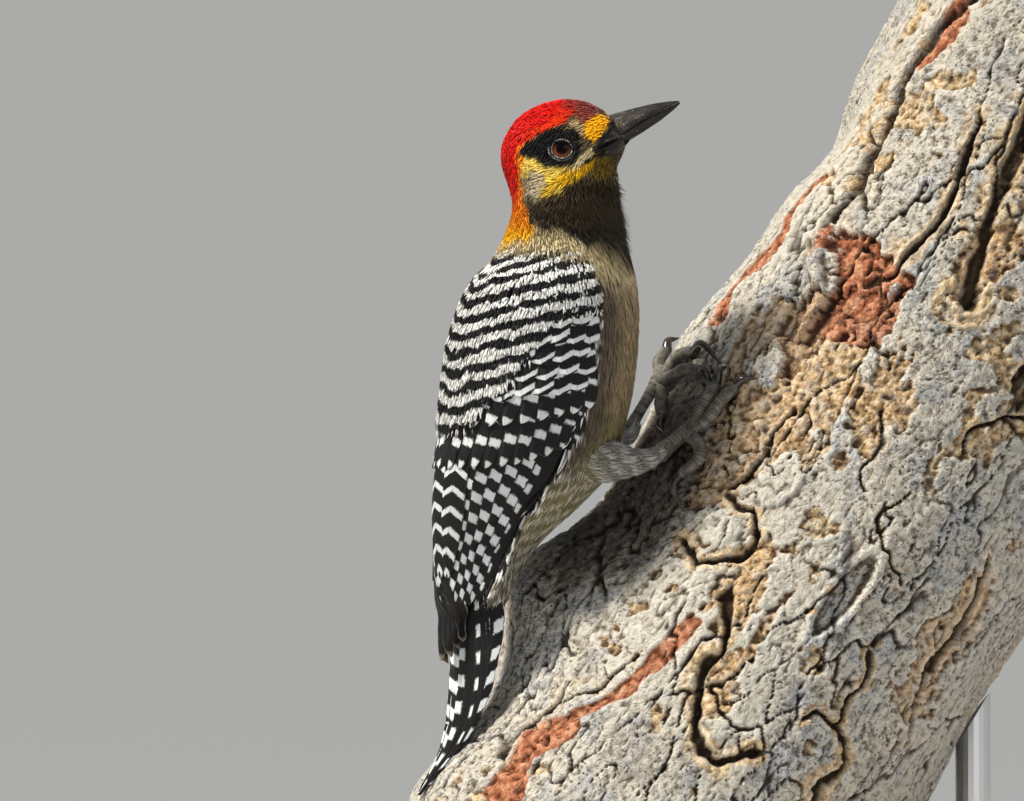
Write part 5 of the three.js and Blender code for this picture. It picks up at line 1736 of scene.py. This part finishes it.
def bark_relief(distance, angle):
    """Height of the bark over the smooth trunk, and the masks that colour it, each from 0 to 1."""
    base = on_perch(distance, angle, 0.0)
    stretched = base - np.outer(base @ PERCH_ALONG, PERCH_ALONG) * 0.62
    warp_t = 14 * rubble(stretched, 14, 4, 100)
    warp_a = 9 * rubble(stretched, 11, 4, 110)
    t, a = distance + 0.45 * warp_t, angle + 0.45 * warp_a
    gap, plate = plates(distance + warp_t, angle + warp_a)
    step = np.random.default_rng(8).uniform(-0.5, 0.6, 400)[plate]
    open_ = ease(0.42, 0.6, grain(stretched, 22, 6))
    crack = ease(0.9, 0.15, gap) * open_
    height = 0.6 * step * open_ - 1.5 * crack + 1.6 * rubble(stretched, 18, 3, 120)
    # thin flakes in layers, and a net of lengthwise cracks, coarse and fine
    layer = 9 * rubble(stretched, 15, 4, 130) + 0.25 * angle * MM_PER_DEGREE / 10
    height += 0.5 * (np.floor(layer) - layer + ease(0.78, 1.0, layer - np.floor(layer)))
    net = 1 - 2 * np.abs(rubble(stretched, 12, 3, 140))
    net = ease(0.955, 0.99, net) * ease(0.35, 0.6, grain(stretched, 25, 16))
    fine_net = ease(0.93, 0.985, 1 - 2 * np.abs(rubble(stretched, 5, 3, 150)))
    height -= 1.3 * net + 0.45 * fine_net
    worn = grain(stretched, 17, 9) * 0.6 + grain(base, 5.5, 10) * 0.4
    bare = ease(0.66, 0.68, worn + 0.12 * rubble(base, 4, 3, 160))
    height -= 0.9 * bare
    tan, rust = bare, 0 * bare
    deep = np.maximum(np.maximum(crack, 0.8 * net), 0.4 * fine_net)
    for up, facing, long_, wide, down, rusty, tan_share in PATCHES:
        reach = np.hypot((t + 0.5 * warp_t - up) / long_,
                         turned_by(a + 0.5 * warp_a, facing) * MM_PER_DEGREE / wide)
        share = ease(1.02, 0.92, reach + 0.7 * rubble(base, 7, 4, 170))
        height -= down * share * (1 - 0.5 * bare)
        rust = np.maximum(rust, share * rusty)
        tan = np.maximum(tan * (1 - share), share * tan_share)
    for path, half, down, tan_share in CRACKS:
        close = path_distance(path, t, a) / (half * (0.6 + 0.8 * grain(base, 9, 21)))
        share = ease(1.0, 0.35, close)
        height -= down * share
        deep = np.maximum(deep, share)
        tan = np.maximum(tan, tan_share * ease(2.6, 1.8, close + 2 * rubble(base, 6, 3, 180)))
    for path, half in RUST_LINES:
        share = ease(1.0, 0.8, path_distance(path, t, a) / (half * (0.6 + 0.8 * grain(base, 6, 22))))
        rust = np.maximum(rust, share)
        height -= 0.8 * share
    # an upturned flap over the rusty patch, a lens-shaped scar, and a knot
    height += 3.4 * ease(2.6, 0.8, path_distance([(156, 42), (147, 43), (139, 48), (130, 50)], t, a))
    height -= 2.2 * ease(3.5, 1.0, path_distance([(150, 37), (138, 41), (124, 45)], t, a))
    lens = np.hypot((distance - 67) / 15,
                    ((angle - 98) * MM_PER_DEGREE - 0.12 * (distance - 67)) / 4.2)
    height += 1.3 * ease(1.5, 1.15, lens) * ease(0.8, 1.05, lens) - 1.9 * ease(1.0, 0.7, lens)
    knot = np.hypot(distance - 67, (angle - 61) * MM_PER_DEGREE)
    height += 2.2 * ease(8, 4, knot + 2 * (grain(base, 4, 5) - 0.5))
    # a chalky lump, folds under the knot, and dark soot round the feet, deepened into the bird's painted
    # shadow
    white = ease(1.1, 0.9, np.hypot((t - 86) / 8, (a - 67) * MM_PER_DEGREE / 6))
    height += 1.1 * white
    folds = ease(26, 8, np.hypot(distance - 24, (angle - 52) * MM_PER_DEGREE))
    height += 0.8 * folds * np.sin(knot / 1.9 + 2 * grain(stretched, 12, 12))
    soot_and_shadow = ease(30, 18, np.hypot((distance - 66) * 0.62, (angle - 26) * MM_PER_DEGREE) + 0.6 * warp_t)
    rough = 0.45 + 0.8 * tan + 0.4 * rust + 0.5 * soot_and_shadow
    sharp = 0.5 - 2.4 * np.abs(rubble(base, 4.2, 3, 200))
    height += rough * (0.9 * rubble(base, 3.4, 3, 190) + 0.7 * sharp)
    white = np.maximum(white, ease(0.62, 0.75, grain(stretched, 26, 15)))
    return np.clip(height, -4.6, 4.2), dict(deep=deep, tan=tan, rust=rust, soot_and_shadow=soot_and_shadow, white=white)


def saw_ends(mesh):
    """Cuts the trunk level at its foot, caps both ends and returns the numbers of their faces."""
    bm = bmesh.new()
    bm.from_mesh(mesh)
    bmesh.ops.bisect_plane(bm, geom=bm.verts[:] + bm.edges[:] + bm.faces[:], dist=1e-6,
                           plane_co=(0, 0, PERCH_CUT * MM), plane_no=(0, 0, -1), clear_outer=True)
    bmesh.ops.holes_fill(bm, edges=[e for e in bm.edges if e.is_boundary])
    bmesh.ops.recalc_face_normals(bm, faces=bm.faces)
    bm.faces.index_update()
    sawn = [face for face in bm.faces if len(face.verts) > MOST_SIDES]
    for face in sawn:
        face.smooth = False
        for edge in face.edges:
            edge.smooth = False
    numbers = [face.index for face in sawn]
    bm.to_mesh(mesh)
    bm.free()
    return numbers


def make_perch():
    """The trunk: flaky grey plates over tan and rusty inner bark, with deep lengthwise cracks.
    Its mesh is finer on the side that the bird clings to."""
    angles = np.concatenate([np.linspace(-15, 195, 400, endpoint=False),
                             np.linspace(195, 345, 120, endpoint=False)])
    rows = np.linspace(-50, PERCH_TOP, 560)
    distance, angle = [grid.ravel() for grid in np.meshgrid(rows, angles, indexing="ij")]
    height, masks = bark_relief(distance, angle)
    field = height.reshape(len(rows), len(angles))
    # how far the bark stands above its neighbours: the material turns low spots into painted shade
    around = sum(np.roll(np.roll(field, i, 0), j, 1) for i in range(-3, 4) for j in range(-3, 4)) / 49
    relief = np.clip(0.5 + 0.55 * (field - around).ravel(), 0, 1)
    made = from_arrays("trunk", on_perch(distance, angle, height), grid_quads(*field.shape),
                       relief=relief, **masks)
    ends = saw_ends(made.data)
    dress(made, "bark", "perch", look=bark_material())
    made.data.materials.append(end_grain_material())
    for index in ends:
        made.data.polygons[index].material_index = 1


def bark_material():
    """Weathered bark: chalky grey cork plates over tan and rust-red inner bark, with painted shade in the
    cracks and hollows and the bird's painted shadow over dark soot round its feet.
    """
    look, tree, place = material("weathered bark")
    tan, rust, white, soot_and_shadow, relief, deep = [
        add(tree, "Attribute", out="Fac", attribute_name=title)
        for title in ("tan", "rust", "white", "soot_and_shadow", "relief", "deep")]
    # noise by the size of its lumps in millimetres, and its detail
    large, specks, dots, chalk, streaks, stains, flecks, pits = [
        add(tree, "TexNoise", {"Vector": place, "Scale": 1000 / size, "Detail": detail, "Roughness": 0.6})
        for size, detail in ((20, 4.0), (2.2, 5.0), (0.9, 2.0), (3.0, 5.0), (2.0, 6.0), (3.2, 6.0),
                             (4.5, 5.0), (1.3, 8.0))]
    plate = ramp(tree, large, [(0.3, "94979C"), (0.42, "B1AEA7"), (0.5, "C4C0B6"), (0.6, "A5A9AD"),
                               (0.72, "C0BDB4")])
    for lumps, low, high, code in ((specks, 0.52, 0.66, "6A6862"), (dots, 0.60, 0.68, "45423C"),
                                   (chalk, 0.46, 0.36, "C2C0B8")):
        share = add(tree, "MapRange", {"Value": lumps, "From Min": low, "From Max": high})
        plate = add(tree, "Mix", {"Factor": share, 6: plate, 7: linear(code)})
    plate = add(tree, "Mix LIGHTEN", {"Factor": white, 6: plate, 7: linear("BDBBB3")})
    inner = ramp(tree, streaks, [(0.3, "745C42"), (0.43, "B0966F"), (0.54, "CBB796"), (0.68, "D8CCB4")])
    rusty = ramp(tree, stains, [(0.32, "56301F"), (0.43, "94593F"), (0.53, "B67C5E"), (0.63, "C2967A"),
                                (0.76, "CAB39A")])
    soot_and_shadow_colour = ramp(tree, chalk, [(0.35, "221F1C"), (0.6, "4A443C"), (0.75, "6C6558")])
    # painted shade in the hollows, from the relief
    painted_hollow_shade = ramp(tree, relief, [(0.12, "5A4A3C"), (0.38, "BCB4AA"), (0.5, "E8E6E2"), (0.75, "FFFFFF")])
    broken = add(tree, "MapRange", {"Value": flecks, "From Min": 0.60, "From Max": 0.52})
    broken = add(tree, "Math MULTIPLY_ADD", [broken, 0.6, 0.4])
    colour = plate
    # tan and rust, the soot with the bird's painted shadow, then painted shade in the hollows and, darkest,
    # in the cracks
    for mode, factor, share, tone in (
            ("Mix", tan, broken, inner), ("Mix", rust, 1.0, rusty), ("Mix", soot_and_shadow, 0.85, soot_and_shadow_colour),
            ("Mix MULTIPLY", 0.9, 1.0, painted_hollow_shade), ("Mix", deep, 0.85, linear("20180F"))):
        factor = add(tree, "Math MULTIPLY", [factor, share])
        colour = add(tree, mode, {"Factor": factor, 6: colour, 7: tone})
    cells = add(tree, "TexVoronoi", {"Vector": place, "Scale": 1000 / 2.6}, feature="DISTANCE_TO_EDGE")
    crackle = add(tree, "MapRange", {"Value": cells, "From Min": 0.0, "From Max": 0.12})
    coarse = add(tree, "Bump", {"Height": pits, "Strength": 1.0, "Distance": 0.0012})
    fine = add(tree, "Bump", {"Height": crackle, "Strength": 0.5, "Distance": 0.0004, "Normal": coarse})
    return finish(look, {"Base Color": colour, "Normal": fine, "Roughness": 0.92,
                         "Specular IOR Level": 0.2})


def end_grain_material():
    """Sawn end grain: dry tan wood in yearly rings."""
    look, tree, place = material("sawn end grain")
    axis = add(tree, "VectorMath SUBTRACT", {0: place, 1: tuple(PERCH_FROM * MM)})
    along = add(tree, "VectorMath PROJECT", {0: axis, 1: tuple(PERCH_ALONG)})
    away = add(tree, "VectorMath SUBTRACT", {0: axis, 1: along})
    reach = add(tree, "VectorMath LENGTH", {0: away}, out="Value")
    wobble = add(tree, "TexNoise", {"Vector": place, "Scale": 40.0})
    rings = add(tree, "Math MULTIPLY_ADD", [wobble, 0.006, reach])
    wave = add(tree, "Math SINE", [add(tree, "Math MULTIPLY", [rings, 2600.0])])
    share = add(tree, "MapRange", {"Value": wave, "From Min": -1.0})
    tone = ramp(tree, share, [(0.0, "A67C50"), (0.7, "C9A577"), (1.0, "D6B68A")])
    return finish(look, {"Base Color": tone, "Roughness": 0.8})


# ---------------------------------------------------------------- stand

def oak_material():
    """Oiled oak: warm brown, with long dark pores along the board and a low gloss."""
    look, tree, place = material("oiled oak")
    along = add(tree, "VectorMath MULTIPLY", {0: place, 1: (0.08, 1.0, 1.0)})
    figure = add(tree, "TexNoise", {"Vector": along, "Scale": 160.0, "Detail": 5.0})
    pores = add(tree, "TexNoise", {"Vector": along, "Scale": 1400.0, "Detail": 2.0})
    tone = ramp(tree, figure, [(0.3, "5A3A20"), (0.5, "7A5230"), (0.7, "8F6640")])
    dark = add(tree, "MapRange", {"Value": pores, "From Min": 0.6, "From Max": 0.68, "To Max": 0.7})
    tone = add(tree, "Mix", {"Factor": dark, 6: tone, 7: linear("2E1C10")})
    return finish(look, {"Base Color": tone, "Roughness": 0.4})


def steel_material():
    """Brushed stainless steel: fine scratches along the rod."""
    look, tree, place = material("brushed steel")
    along = add(tree, "VectorMath MULTIPLY", {0: place, 1: (1.0, 1.0, 0.02)})
    lines = add(tree, "TexNoise", {"Vector": along, "Scale": 3000.0, "Detail": 2.0})
    rough = add(tree, "MapRange", {"Value": lines, "To Min": 0.25, "To Max": 0.5})
    return finish(look, {"Base Color": linear("C6C8CA"), "Metallic": 1.0, "Roughness": rough})


def finish_stand():
    oak, steel = oak_material(), steel_material()
    for name, look in (("stand_base", oak), ("stand_rod_low", steel), ("stand_rod_high", steel)):
        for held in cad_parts[name].material_slots:
            held.material = look


finish_stand()
make_skin()
make_head_coat()
make_body_coat()
make_back_coat()
make_thigh_coats()
make_wings()
make_tail()
make_eyes()
make_bill()
make_bristles()
make_legs()
make_perch()
